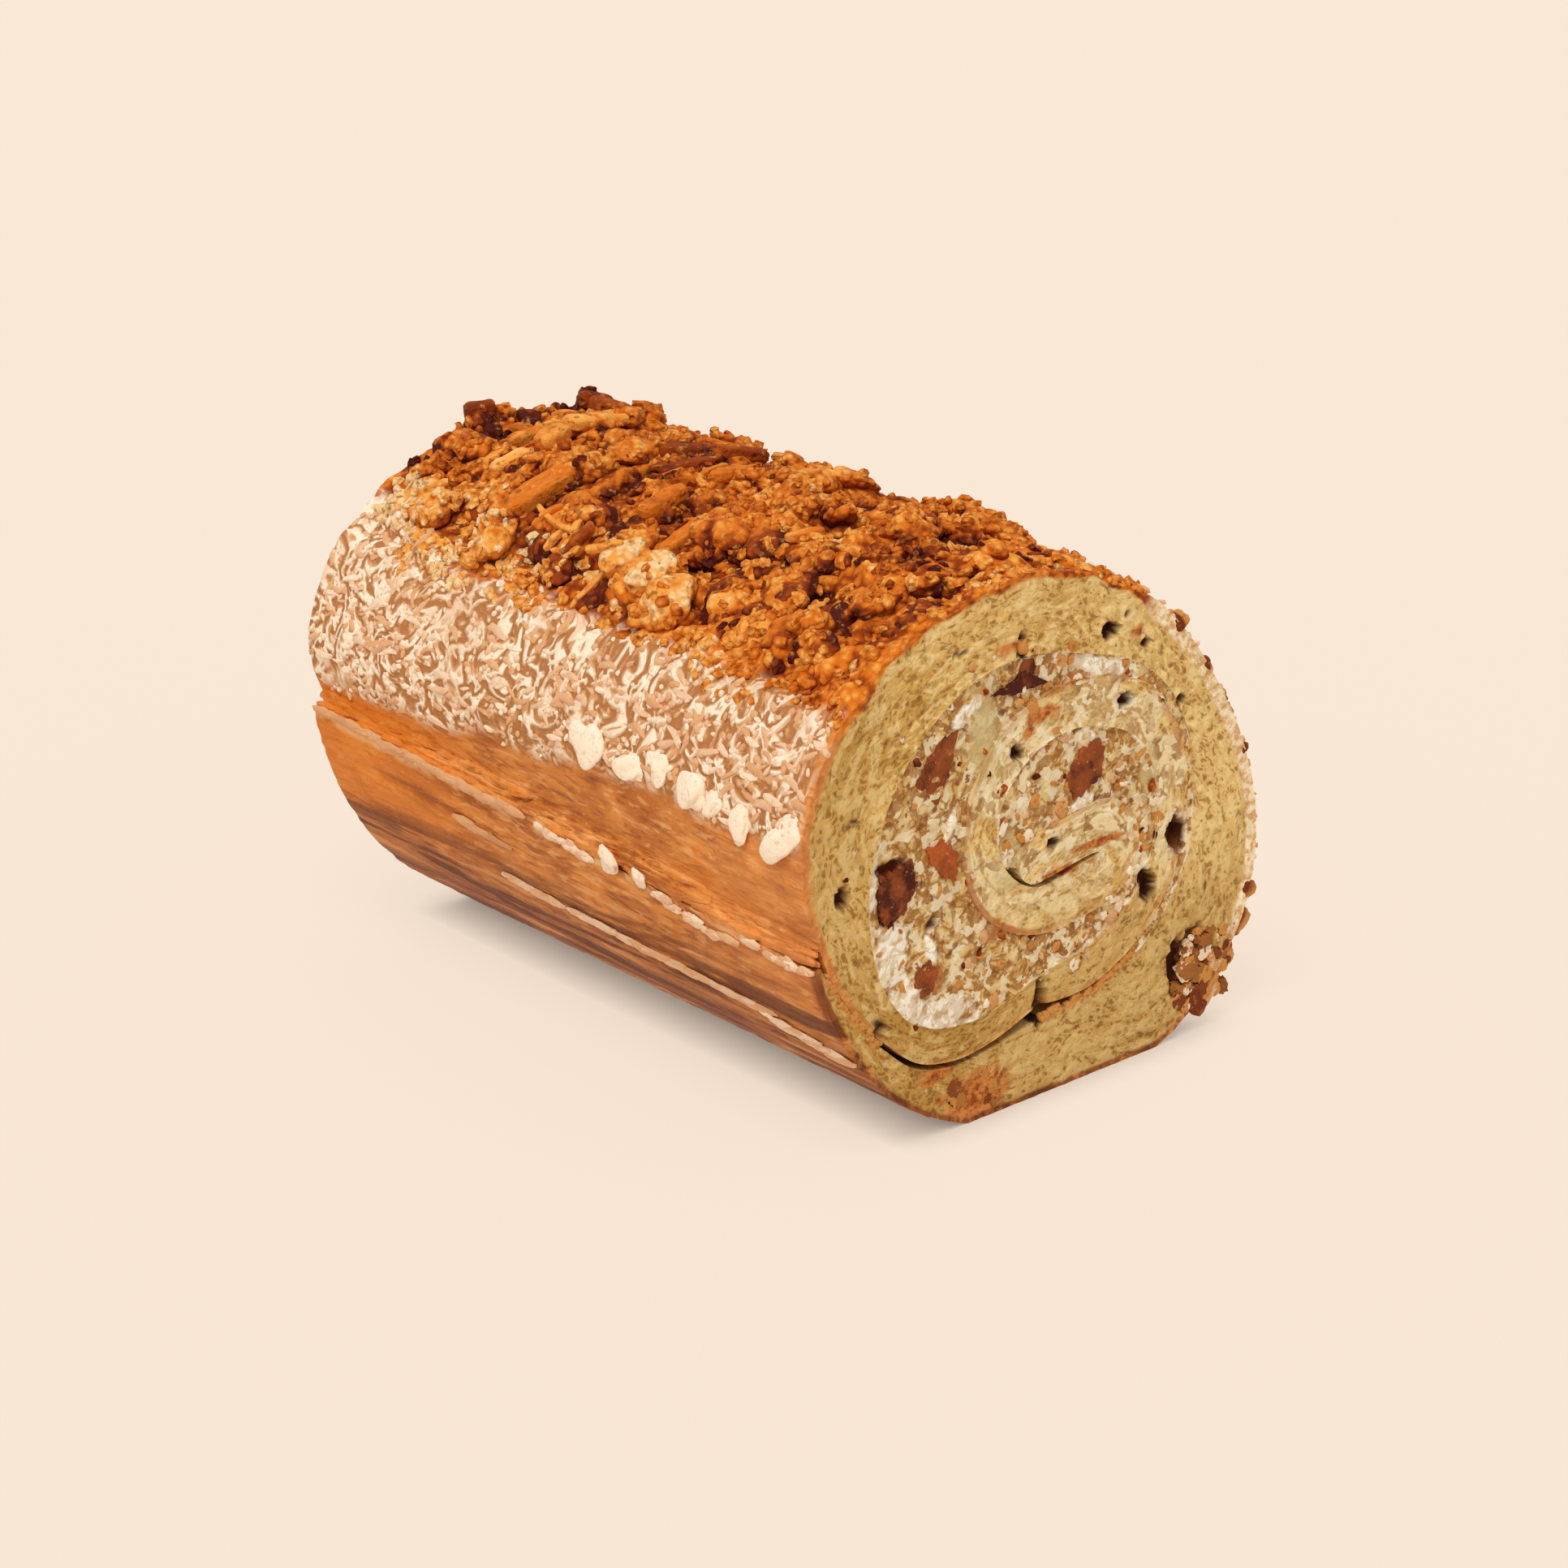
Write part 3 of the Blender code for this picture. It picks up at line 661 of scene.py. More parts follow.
# (angle, share of the length, mm across the roll, mm along it, slant in degrees, depth in mm, dark)
SKIN_MARKS = [
    (128.3, 0.704, 17.0, 2.8, 16, 1.7, 1.0), (124.0, 0.802, 6.0, 1.9, 26, 1.2, 1.0),
    (125.5, 0.846, 3.4, 2.2, 20, 0.9, 0.9), (104.3, 0.790, 9.0, 2.2, -30, 1.3, 0.95),
    (106.0, 0.733, 4.8, 3.8, 0, 1.8, 1.0), (128.5, 0.974, 9.0, 6.0, 20, 1.4, 1.0),
    (97.0, 0.622, 25.0, 7.0, -4, 0.6, 0.85), (116.0, 0.604, 5.0, 3.4, 20, 1.3, 0.9),
    (108.0, 0.640, 9.0, 1.6, 10, 1.0, 0.9), (100.0, 0.590, 8.0, 1.6, 0, 1.0, 0.9),
    (136.5, 0.622, 5.0, 3.4, 10, 0.9, 0.8), (131.0, 0.600, 4.0, 2.4, 30, 0.9, 0.8),
    (139.0, 0.262, 4.4, 6.0, 0, 1.6, 0.9), (140.5, 0.148, 5.2, 4.6, 0, 2.4, 1.0),
    (118.5, 0.185, 6.0, 3.6, 0, 1.8, 1.0), (111.5, 0.095, 7.0, 5.0, 10, 1.8, 1.0),
    (121.0, 0.105, 3.6, 8.0, 0, 1.4, 0.8), (114.5, 0.140, 15.0, 13.0, 0, 0.9, 0.4),
    (132.5, 0.092, 7.0, 6.0, 0, 0.9, 0.6), (130.0, 0.036, 5.0, 4.0, 0, 0.7, 0.5),
    (104.5, 0.319, 4.0, 2.4, 30, 1.0, 0.8), (126.0, 0.388, 7.0, 2.0, -30, 1.1, 0.8),
    (120.0, 0.470, 6.0, 2.2, 10, 0.9, 0.7), (66.0, 0.181, 6.0, 5.0, 0, 1.2, 0.9),
    (113.0, 0.940, 6.0, 3.0, 10, 1.0, 0.9), (88.0, 0.045, 6.0, 4.0, 0, 1.0, 0.9),
    (186.5, 0.375, 1.5, 20.0, 12, 0.35, 0.9), (181.5, 0.540, 1.1, 20.0, -13, 0.25, 0.5),
    (178.0, 0.474, 2.8, 4.0, 0, 0.45, 1.0), (180.8, 0.500, 1.8, 3.6, 0, 0.3, 0.8),
    (187.8, 0.312, 1.6, 3.4, 0, 0.3, 0.9), (206.5, 0.366, 1.6, 40.0, 5, 0.25, 0.7),
    (214.5, 0.155, 1.8, 3.0, 0, 0.3, 1.0), (197.0, 0.004, 14.0, 2.2, 0, 0.2, 0.9),
    (178.0, 0.002, 9.0, 1.6, 0, 0.2, 0.6), (190.0, 0.780, 1.8, 26.0, 4, 0.3, 0.6),
    (85.0, 0.970, 11.0, 9.0, 0, 0.0, 0.8),
]
RANDOM_MARKS = 14
draw = random.Random(11)
for _ in range(RANDOM_MARKS):
    spot = (draw.uniform(62, 98), draw.uniform(0.05, 0.97), draw.uniform(3, 9), draw.uniform(2, 5))
    SKIN_MARKS.append((*spot, draw.uniform(-20, 20), draw.uniform(0.6, 1.6), draw.uniform(0.6, 1.0)))
# The crater's raised edge: (angle, share, mm across, mm along, height in mm)
CRATER_EDGE = (114.5, 0.130, 19.0, 17.0, 0.9)
# (angle, share, mm across, mm along)
GRANULAR_PATCHES = ((137.0, 0.86, 36.0, 34.0), (107.0, 0.42, 27.0, 38.0), (114.0, 0.14, 13.0, 12.0))
PALE_RIM = 0.22


def away_from(spot, angle, share):
    """How far a place on the skin lies from a spot's (angle, share), across and along the roll, in mm."""
    return (angle - spot[0]) * MM_PER_DEGREE, (share - spot[1]) * LENGTH / MM


def hollow(angle, share):
    """(depth in mm, darkness) of the hollows at a place on the skin."""
    deep, dark = 0.0, 0.0
    if not MARKED_ANGLES[0] < angle < MARKED_ANGLES[1]:
        return deep, dark
    for mark in SKIN_MARKS:
        across, along, slant, depth, shade = mark[2:]
        dx, dy = away_from(mark, angle, share)
        if abs(dx) + abs(dy) > across + along:
            continue
        lean = math.radians(slant)
        u = (dx * math.cos(lean) + dy * math.sin(lean)) / across
        v = (dy * math.cos(lean) - dx * math.sin(lean)) / along
        ragged = 0.3 * noise.noise(Vector((dx, dy, mark[0])) / 1.4)
        inside = ease((1.25 - 2.0 * math.hypot(u, v) + ragged) * 1.4)
        deep = max(deep, depth * inside)
        dark = max(dark, shade * inside)
    return deep, dark


def crater_edge(angle, share):
    """How far the crater's raised edge stands out at a place on the skin, in mm."""
    across, along, height = CRATER_EDGE[2:]
    dx, dy = away_from(CRATER_EDGE, angle, share)
    return height * ease(1.0 - abs(2.0 * math.hypot(dx / across, dy / along) - 1.0) / 0.38)


def granular(angle, share):
    """How granular the topping is at a place, 0 to 1."""
    most = 0.2 + 0.6 * wave(angle * 0.05, share * 6.0, 8.0)
    for patch in GRANULAR_PATCHES:
        dx, dy = away_from(patch, angle, share)
        most = max(most, ease(2.0 - 4.0 * math.hypot(dx / patch[2], dy / patch[3])))
    return max(most, 0.0)


def pale_rim(angle, share):
    """How much paler the topping is where it thins out at the far rim's lower edge."""
    return PALE_RIM * ease((share - 0.86) / 0.08) * ease((angle - 130) / 6)


CREASE_DEPTH = 0.42
CREASED_ANGLES = (170, 246)


def creases(angle, share):
    """Lengthwise creases of the bare skin, in mm: long along the roll, narrow across it."""
    fold_at = Vector((angle * 0.24, share * 3.2, 0.0))
    deep = noise.noise(fold_at) + 0.5 * noise.noise(fold_at * 2.1)
    return -CREASE_DEPTH * abs(deep) * band(angle % 360, *CREASED_ANGLES, 12)


SKIN_GRAIN = 1.5
SKIN_GRAIN_MIDDLE = 0.45
SKIN_ROUGH = 0.08
CRUST_ROUGH = (0.35, 0.35)
CRUST_LUMP = (0.5, 4.0)
SKIN_LUMP = (0.1, 2.3)


def skin_lift(point, angle, share):
    """How far the skin stands out in all, in mm: its broad relief, its hollows and its grain."""
    lift = relief(point, angle, share) + creases(angle, share) - hollow(angle, share)[0]
    crust = crust_share(angle, share)
    grains = noise.voronoi(Vector(point) / (SKIN_GRAIN * MM))[0][0]
    rough = SKIN_ROUGH + crust * (CRUST_ROUGH[0] + CRUST_ROUGH[1] * granular(angle, share))
    lumps, smaller = (
        height * noise.noise(Vector(point) / (size * MM)) for height, size in (CRUST_LUMP, SKIN_LUMP)
    )
    lift += crust * (crater_edge(angle, share) + lumps)
    return lift + rough * (SKIN_GRAIN_MIDDLE - grains) + smaller


# %% Bubbles that show in the cut: (x, z, width, height, depth), in mm
NEAR_BUBBLES = (
    (13.6, 67.4, 3.4, 2.2, 2.2), (16.9, 56.2, 2.2, 2.0, 1.8), (-36.9, 40.9, 2.2, 2.6, 2.0),
    (28.1, 53.6, 2.0, 1.6, 1.4), (-34.9, 51.2, 3.6, 0.8, 0.8), (22.0, 26.8, 3.2, 5.0, 2.6),
    (27.8, 32.9, 3.2, 5.8, 2.8), (-4.5, 53.7, 2.4, 2.0, 1.8), (3.0, 38.2, 2.6, 1.6, 1.4),
    (-15.5, 70.6, 3.4, 0.8, 0.8), (-27.4, 42.6, 5.4, 2.2, 1.6), (-28.6, 37.4, 2.0, 6.4, 1.8),
    (0.4, 14.3, 2.2, 6.4, 2.2), (-3.6, 68.8, 1.8, 3.2, 1.4), (-20.3, 32.4, 1.8, 2.0, 1.4),
    (-30.3, 19.6, 2.2, 2.6, 1.2), (17.0, 69.0, 1.4, 1.0, 0.9), (20.6, 64.0, 1.6, 1.4, 1.2),
    (28.6, 11.8, 3.4, 8.0, 2.4),
)
FAR_BUBBLES = (
    (-22.0, 70.2, 3.4, 2.4, 1.8), (33.6, 50.6, 2.6, 3.0, 1.8), (4.6, 8.0, 2.8, 1.8, 1.4),
    (22.6, 22.6, 2.2, 1.8, 1.4), (-37.4, 36.0, 2.0, 3.0, 1.4), (14.2, 69.4, 2.0, 1.4, 1.2),
)
# Browned patches on the near cut: (x, z, width, height), in mm
NEAR_BROWN = (
    (-12.0, 3.6, 12.0, 8.6), (31.0, 9.5, 6.0, 11.0), (-20.0, 9.4, 7.0, 2.4), (-6.5, 69.4, 5.0, 2.0),
    (4.0, 33.5, 7.0, 1.8), (12.0, 36.0, 12.0, 1.2), (-8.0, 27.6, 4.6, 2.0), (19.0, 66.0, 2.4, 2.0),
    (0.4, 58.2, 6.0, 2.0), (-20.4, 23.9, 5.0, 4.6), (6.8, 61.9, 5.0, 1.4), (-2.4, 56.2, 3.0, 2.4),
)
# Smooth khaki smears on the near cut, also (x, z, width, height)
NEAR_KHAKI = (
    (-10.6, 58.0, 5.4, 14.0), (-6.0, 38.0, 4.6, 9.0), (7.4, 47.0, 4.0, 5.0), (22.0, 44.0, 3.0, 8.0),
)
# Where the cut's foot has broken away, as one more bubble
FOOT_HOLLOW = (33.5, 10.5, 8.0, 12.0, 2.2)
KHAKI_SOFT = 0.9
BUBBLE_SHADE = 0.9
EDGE_KEPT = 14


def oval(x, z, place, soft=0.5):
    """1 inside an oval of (x, z, width, height) and 0 outside, with a ragged edge."""
    away = 2.0 * math.hypot((x - place[0]) / place[2], (z - place[1]) / place[3])
    ragged = 0.5 * noise.noise(Vector((x, z, place[0])) / 1.5)
    return ease((1.0 - away + ragged) / soft + 0.5)


def shown_in_cut(x, z, near):
    """At a place of a cut end: the depth of its bubbles in mm, how brown it is and how khaki."""
    pit = max(oval(x, z, spot) * spot[4] for spot in (NEAR_BUBBLES if near else FAR_BUBBLES))
    if not near:
        return pit, 0.0, 0.0
    brown = max(oval(x, z, spot) for spot in NEAR_BROWN)
    return pit, brown, max(oval(x, z, spot, KHAKI_SOFT) for spot in NEAR_KHAKI)


def crumb_relief(x, z, seed):
    """Open pores of the cut sponge, in mm inwards."""
    here = Vector((x, z, seed))
    fine = noise.noise(here / 1.3)
    broad = noise.noise(here / 3.4)
    return 0.22 + 0.24 * fine + 0.20 * broad + 0.35 * max(0.0, fine - 0.35)


# %% Roll the sheet up
# The skin of the inner turns is under cream and hardly shows, apart from one stretch of it
BROWN_LINE = (905, 975)
BROWN_LINE_SHOWS = 0.7
# The skin counts as inner this many degrees past the seam. Its relief fades through the sheet, at
# this many times its thickness, and towards the floor, over this many mm.
INNER_FROM = 25
LIFT_FADE = 1.6
FLAT_UNDER = 1.5
FAR_SEED = 40.0
along_sheet = np.concatenate([[0.0], np.cumsum(np.hypot(*np.diff(near_skin, axis=0).T))])
FACTS = (
    "depth", "along", "crust", "icing", "coat", "bubble", "inner", "dark", "lift", "brown", "lip",
    "khaki", "hidden", "grainy",
)
flat = flat_places(sponge)
rolled = np.zeros((len(flat), 3))
facts = {name: np.zeros(len(flat)) for name in FACTS}
for i, (u, w, v) in enumerate(flat):
    column = round(u * COLUMNS)
    angle = near_angle[column] + (far_angle[column] - near_angle[column]) * v
    skin = near_skin[column] + (far_skin[column] - near_skin[column]) * v
    cream = near_cream[column] + (far_cream[column] - near_cream[column]) * v
    x, z = skin + (cream - skin) * w
    y = NEAR_END + LENGTH * v
    if column <= FIRST_TURN_COLUMNS:
        out = Vector((skin[0] - EYE[0], 0.0, skin[1] - EYE[1])).normalized()
        lift = skin_lift((x * MM, y, z * MM), angle, v) * max(0.0, 1.0 - LIFT_FADE * w)
        lift *= ease(z / FLAT_UNDER)
        x, z = x + out.x * lift, z + out.z * lift
        facts["crust"][i] = crust_share(angle, v)
        facts["icing"][i] = icing_share(angle, v)
        facts["coat"][i] = coat_share(angle, v)
        facts["dark"][i] = hollow(angle, v)[1] - pale_rim(angle, v)
        facts["grainy"][i] = granular(angle, v)
        facts["lift"][i] = lift
    near = v < 0.5
    if v < 1e-4 or v > 1 - 1e-4:
        bubble, facts["brown"][i], facts["khaki"][i] = shown_in_cut(x, z, near)
        pit = max(bubble, crumb_relief(x, z, 0.0 if near else FAR_SEED))
        if near:
            pit = max(pit, FOOT_HOLLOW[4] * oval(x, z, FOOT_HOLLOW))
        edges_kept = ease(w * EDGE_KEPT + 0.4) * ease((1 - w) * EDGE_KEPT + 0.4)
        y += (1 if near else -1) * pit * MM * edges_kept
        # A bubble's pit is painted darker the deeper it is: painted shade in the hole.
        facts["bubble"][i] = ease(bubble * BUBBLE_SHADE)
    facts["depth"][i] = w * math.dist(skin, cream)
    facts["along"][i] = along_sheet[column]
    facts["inner"][i] = ease((angle - SEAM_ANGLE) / INNER_FROM)
    patchy = 0.75 + 0.9 * wave(angle * 0.09, v * 3.0, 6.0)
    browned = BROWN_LINE_SHOWS * band(angle, *BROWN_LINE, 20)
    facts["hidden"][i] = facts["inner"][i] * patchy * (1.0 - browned)
    facts["lip"][i] = 1.0 if column < 2 else 0.0
    rolled[i] = (x * MM, min(max(y, NEAR_END), FAR_END), max(z, 0.0) * MM)
carried(sponge, rolled, facts)
print("rolled sponge:", len(sponge.data.polygons), "faces, top mm", round(rolled[:, 2].max() / MM, 1))

# %% [markdown]
# ## Materials
# A baked crumb, a skin, a crust and cream all have the same kind of fine grain, so the grain is one
# node group with a scale. The winding bands of sponge and icing, the chopped bits of the filling and
# the colours of baked crust are groups too. Each material lays its own colours over them.


# %% Node groups that several materials share
def node_group(name, inputs, outputs, build):
    """A shader node group. build is given its Paint and its inputs, and returns what it puts out."""
    group = bpy.data.node_groups.new(name, "ShaderNodeTree")
    for in_out, sockets in (("INPUT", inputs), ("OUTPUT", outputs)):
        for socket, kind in sockets.items():
            group.interface.new_socket(socket, in_out=in_out, socket_type="NodeSocket" + kind)
    paint = Paint(group)
    paint.node("NodeGroupOutput", build(paint, paint.node("NodeGroupInput").outputs))
    return group


def build_grain(paint, given):
    """Fine pores and lumps: the mask of the pores, the height of the surface, and its mottle."""
    where, scale = given["Where"], given["Scale"]
    pores = paint.ramp(paint.cells(where, scale)["Distance"], 0.34, 0.12)
    spotted = paint.ramp(paint.noise(where, paint.times(scale, 0.35)), 0.42, 0.60)
    pores = paint.times(pores, spotted)
    mottle = paint.noise(where, paint.times(scale, 1.3), 5.0, 0.62)
    height = paint.maths("SUBTRACT", mottle, paint.times(pores, 0.7))
    return {"Pores": pores, "Height": height, "Mottle": mottle}


def build_winding(paint, given):
    """Winding bands, 0 to 1, which follow the contours of a slow noise."""
    slow = paint.noise(given["Where"], given["Scale"], 3.0, given["Broken"], 0.6)
    wave = paint.maths("SINE", paint.times(slow, given["Bands"]))
    return {"Band": paint.maths("MULTIPLY_ADD", wave, 0.5, 0.5)}


def build_chopped(paint, given):
    """A random number, 0 to 1, for each ragged bit of a chopped mixture."""
    where, scale = given["Where"], given["Scale"]
    finer = paint.times(scale, 0.8)
    drift = paint.node("ShaderNodeTexNoise", {"Vector": where, "Scale": finer}).outputs["Color"]
    wires = {0: drift, 1: paint.maths("DIVIDE", 1.6, scale), 2: where}
    ragged = paint.node("ShaderNodeVectorMath", wires, operation="MULTIPLY_ADD").outputs[0]
    return {"Bit": paint.axis(paint.cells(ragged, scale)["Color"], "X")}


def build_crust(paint, given):
    """Baked crumbs from almost burnt (tone 0) to pale tan (tone 1), speckled."""
    tone, speckle = given["Tone"], given["Speckle"]
    return {"Colour": paint.layers(
        colour(82, 18, 0),
        (paint.ramp(tone, 0.02, 0.26), 1.0, (150, 60, 6)),
        (paint.ramp(tone, 0.24, 0.50), 1.0, (216, 113, 22)),
        (paint.ramp(tone, 0.50, 0.78), 1.0, (243, 163, 70)),
        (paint.ramp(tone, 0.78, 1.00), 1.0, (248, 208, 150)),
        (paint.ramp(speckle, 0.56, 0.72), 0.6, (246, 176, 90)),
        (paint.ramp(speckle, 0.44, 0.32), 0.6, (116, 40, 2)),
    )}


CHOPPED_SCALE = 660.0
PLACE = {"Where": "Vector", "Scale": "Float"}
GRAIN_GIVES = {"Pores": "Float", "Height": "Float", "Mottle": "Float"}
GRAIN = node_group("baked_grain", PLACE, GRAIN_GIVES, build_grain)
WINDING = node_group(
    "winding_bands", {**PLACE, "Bands": "Float", "Broken": "Float"}, {"Band": "Float"}, build_winding,
)
CHOPPED = node_group("chopped_bits", PLACE, {"Bit": "Float"}, build_chopped)
CRUST = node_group("baked_crust", {"Tone": "Float", "Speckle": "Float"}, {"Colour": "Color"}, build_crust)


def grain(paint, where, scale):
    return paint.placed(GRAIN, Where=where, Scale=scale)


def winding_bands(paint, where, scale, bands, broken=0.45):
    return paint.placed(WINDING, Where=where, Scale=scale, Bands=bands, Broken=broken)["Band"]


def chopped_bits(paint, where):
    return paint.placed(CHOPPED, Where=where, Scale=CHOPPED_SCALE)["Bit"]


def crust_colours(paint, tone, speckle):
    return paint.placed(CRUST, Tone=tone, Speckle=speckle)["Colour"]


# %% [markdown]
# The sponge's own material reads how deep a point lies below the skin. Down to about a millimetre
# it is browned, and below that it is the yellow crumb, with pores and fine fibres that follow the
# rolled sheet. On the outside it reads the masks for the crust, the icing bed and the pale coat.

# %% The sponge's material: the cut crumb
sponge_paint, paint, shader, where = new_material("sponge_and_skin", 0.88, 0.18)
pores = grain(paint, where, 620.0)
mottle = pores["Mottle"]
broad = paint.noise(where, 62.0, 3.0)
depth, along, inner = paint.fact("depth"), paint.fact("along"), paint.fact("inner")
sideways, lengthways, height_up = (paint.axis(where, letter) for letter in "XYZ")
sheet = paint.node("ShaderNodeCombineXYZ", {"X": along, "Y": depth}).outputs[0]
worms = winding_bands(paint, paint.stretched(sheet, 0.42, 1.0, 1.0), 0.30, 22.0)
small_worms = winding_bands(paint, paint.stretched(sheet, 0.70, 1.2, 1.0), 0.75, 16.0)
weave = paint.maths("MULTIPLY_ADD", small_worms, 0.45, paint.times(worms, 0.55))
# right paints light on the cut's right side, and shaded darkens its left side and its lower part: painted
# light and painted shade.
right, left = paint.ramp(sideways, -0.03, 0.045), paint.ramp(sideways, -0.023, -0.038)
shaded = paint.maths("MAXIMUM", paint.times(left, 0.8), paint.ramp(height_up, 0.034, 0.016))

crumb = paint.layers(
    paint.mix(paint.ramp(broad, 0.35, 0.65), colour(208, 162, 83), colour(230, 189, 114)),
    (right, 0.45, (236, 202, 136)),
    (paint.ramp(weave, 0.55, 0.85), 0.75, (242, 212, 146)),
    (paint.ramp(weave, 0.42, 0.14), 0.75, (158, 108, 42)),
    (paint.ramp(mottle, 0.58, 0.74), 0.8, (246, 222, 168)),
    (paint.ramp(mottle, 0.42, 0.30), 0.7, (134, 84, 30)),
    (pores["Pores"], 0.4, (112, 68, 26)),
)
# Painted shade: the left side and the lower part of the cut are darkened.
crumb = paint.mix(shaded, crumb, colour(228, 220, 206), "MULTIPLY")

# %% The sponge's material: cream dragged over the inner turns, smears and browned places
bit = chopped_bits(paint, where)
dragged = paint.layers(
    paint.mix(paint.ramp(weave, 0.25, 0.75), colour(198, 160, 100), colour(240, 216, 166)),
    (paint.ramp(bit, 0.20, 0.09), 0.65, (150, 96, 42)),
    (paint.ramp(bit, 0.68, 0.82), 0.8, (244, 228, 190)),
)
smeared = paint.ramp(paint.noise(where, 120.0, 3.0, 0.6, 1.0), 0.40, 0.52)
upper_turns = paint.times(inner, paint.ramp(height_up, 0.020, 0.040))
crumb = paint.mix(paint.times(smeared, upper_turns), crumb, dragged)
crumb = paint.layers(crumb, (paint.fact("khaki"), 0.8, (212, 190, 132)))
browned = paint.mix(paint.ramp(mottle, 0.36, 0.60), colour(150, 72, 22), colour(214, 134, 66))
crumb = paint.mix(paint.fact("brown"), crumb, browned)
# Painted shade: the bubbles' pits are painted almost black.
crumb = paint.mix(paint.fact("bubble"), crumb, colour(70, 30, 10))

# %% The sponge's material: the bare skin, streaked along the roll
streaks = paint.noise(paint.stretched(where, 1.0, 0.16, 1.0), 420.0, 3.0, 0.6, 0.6)
patches = paint.noise(paint.stretched(where, 1.0, 0.55, 1.0), 120.0, 4.0, 0.55, 0.8)
spots = paint.noise(paint.stretched(where, 1.0, 0.5, 1.0), 310.0, 3.0, 0.6, 1.0)
fibres = paint.noise(paint.stretched(where, 1.0, 0.22, 1.0), 900.0, 2.0, 0.6, 0.4)
grooves = paint.noise(paint.stretched(where, 1.0, 0.08, 1.0), 320.0, 3.0, 0.6, 0.5)
low = paint.ramp(height_up, 0.030, 0.020)
# Painted light: the upper flank is brighter and more golden towards the far end, and paler towards the near
# end.
far_glow = paint.times(paint.ramp(lengthways, 0.005, 0.045), paint.ramp(height_up, 0.016, 0.026))
near_glow = paint.times(paint.ramp(lengthways, -0.02, -0.05), paint.ramp(height_up, 0.020, 0.034))
skin = paint.layers(
    paint.mix(paint.ramp(patches, 0.36, 0.60), colour(190, 108, 44), colour(222, 140, 62)),
    (paint.ramp(patches, 0.58, 0.70), 1.0, (216, 120, 34)),
    (paint.ramp(streaks, 0.47, 0.34), 0.75, (150, 74, 26)),
    (paint.ramp(streaks, 0.56, 0.68), 0.5, (240, 170, 98)),
    (paint.ramp(spots, 0.40, 0.28), 0.4, (140, 66, 22)),
    (paint.ramp(spots, 0.60, 0.74), 0.4, (246, 190, 130)),
    (paint.ramp(fibres, 0.45, 0.34), 0.6, (156, 80, 30)),
    (paint.ramp(fibres, 0.56, 0.67), 0.5, (246, 184, 118)),
    (far_glow, 0.6, (232, 128, 20)),
    (near_glow, 0.35, (240, 156, 84)),
    # Painted shade: the skin darkens towards the floor, where the roll curves under.
    (paint.ramp(height_up, 0.030, 0.006), 0.85, (134, 68, 20)),
    (paint.times(paint.ramp(grooves, 0.52, 0.41), low), 0.9, (104, 48, 16)),
    (paint.times(paint.ramp(grooves, 0.56, 0.66), low), 0.6, (232, 158, 92)),
    # The hollows' darkness: partly a browner crust, partly painted shade.
    (paint.fact("dark"), 0.85, (112, 44, 8)),
    # Painted highlight: the tail's edge is painted pale in patches.
    (paint.times(paint.fact("lip"), paint.ramp(spots, 0.42, 0.60)), 0.7, (244, 194, 132)),
)

# %% The sponge's material: the crust, the icing bed and the coat
domed = paint.maths("SUBTRACT", 0.42, paint.cells(where, 640.0)["Distance"])
domed = paint.times(domed, paint.maths("MAXIMUM", paint.fact("grainy"), 0.6))
tone = paint.times(paint.noise(where, 170.0, 3.0), 0.9)
# Painted light and shade: the crust is paler where its relief stands higher and darker where it lies lower.
tone = paint.maths("MULTIPLY_ADD", paint.fact("lift"), 0.16, tone)
tone = paint.maths("MULTIPLY_ADD", domed, 0.9, tone)
tone = paint.maths("MULTIPLY_ADD", lengthways, -1.2, tone)
# Darker in the hollows: partly a browner crust, partly painted shade.
tone = paint.maths("SUBTRACT", tone, paint.maths("MULTIPLY_ADD", paint.fact("dark"), 0.6, 0.02))
crust = crust_colours(paint, tone, mottle)
ribbons = winding_bands(paint, where, 170.0, 34.0, 0.48)
whiter = paint.maths("MULTIPLY_ADD", paint.ramp(patches, 0.36, 0.56), 0.5, 0.5)
icing = paint.layers(
    paint.mix(paint.ramp(ribbons, 0.05, 0.45), colour(180, 118, 68), colour(216, 160, 110)),
    (paint.times(paint.ramp(ribbons, 0.45, 0.85), whiter), 1.0, (252, 232, 204)),
    (paint.ramp(mottle, 0.44, 0.32), 0.5, (180, 116, 68)),
)
coat = paint.mix(paint.ramp(mottle, 0.36, 0.60), colour(212, 164, 102), colour(252, 230, 192))
for place, cover in (("coat", coat), ("crust", crust), ("icing", icing)):
    skin = paint.mix(paint.fact(place), skin, cover)
baked = paint.mix(inner, skin, colour(184, 108, 50))

# %% The sponge's material: where the skin ends and the crumb starts, and the bump
COAT_LINE = 1.3
edge = paint.maths("MULTIPLY_ADD", broad, 0.9, paint.maths("SUBTRACT", depth, 0.75))
edge = paint.maths("SUBTRACT", edge, paint.times(paint.fact("coat"), COAT_LINE))
edge = paint.maths("SUBTRACT", edge, paint.times(left, paint.maths("SUBTRACT", 0.5, inner)))
inside = paint.ramp(edge, 0.15, 0.9)
hidden = paint.maths("MAXIMUM", inside, paint.fact("hidden"), clamp=True)
inside = paint.times(hidden, paint.maths("SUBTRACT", 1.0, paint.fact("lip")))
rough = paint.maths("MULTIPLY_ADD", weave, 0.5, pores["Height"])
rough = paint.maths("MULTIPLY_ADD", paint.times(grooves, low), 2.0, rough)
rough = paint.maths("MULTIPLY_ADD", paint.times(domed, paint.fact("crust")), 3.0, rough)
rough = paint.maths("MULTIPLY_ADD", paint.times(ribbons, paint.fact("icing")), 1.8, rough)
finish(paint, shader, paint.mix(inside, baked, crumb), rough, 0.55, 0.0006)
covered = paint.fact("coat")
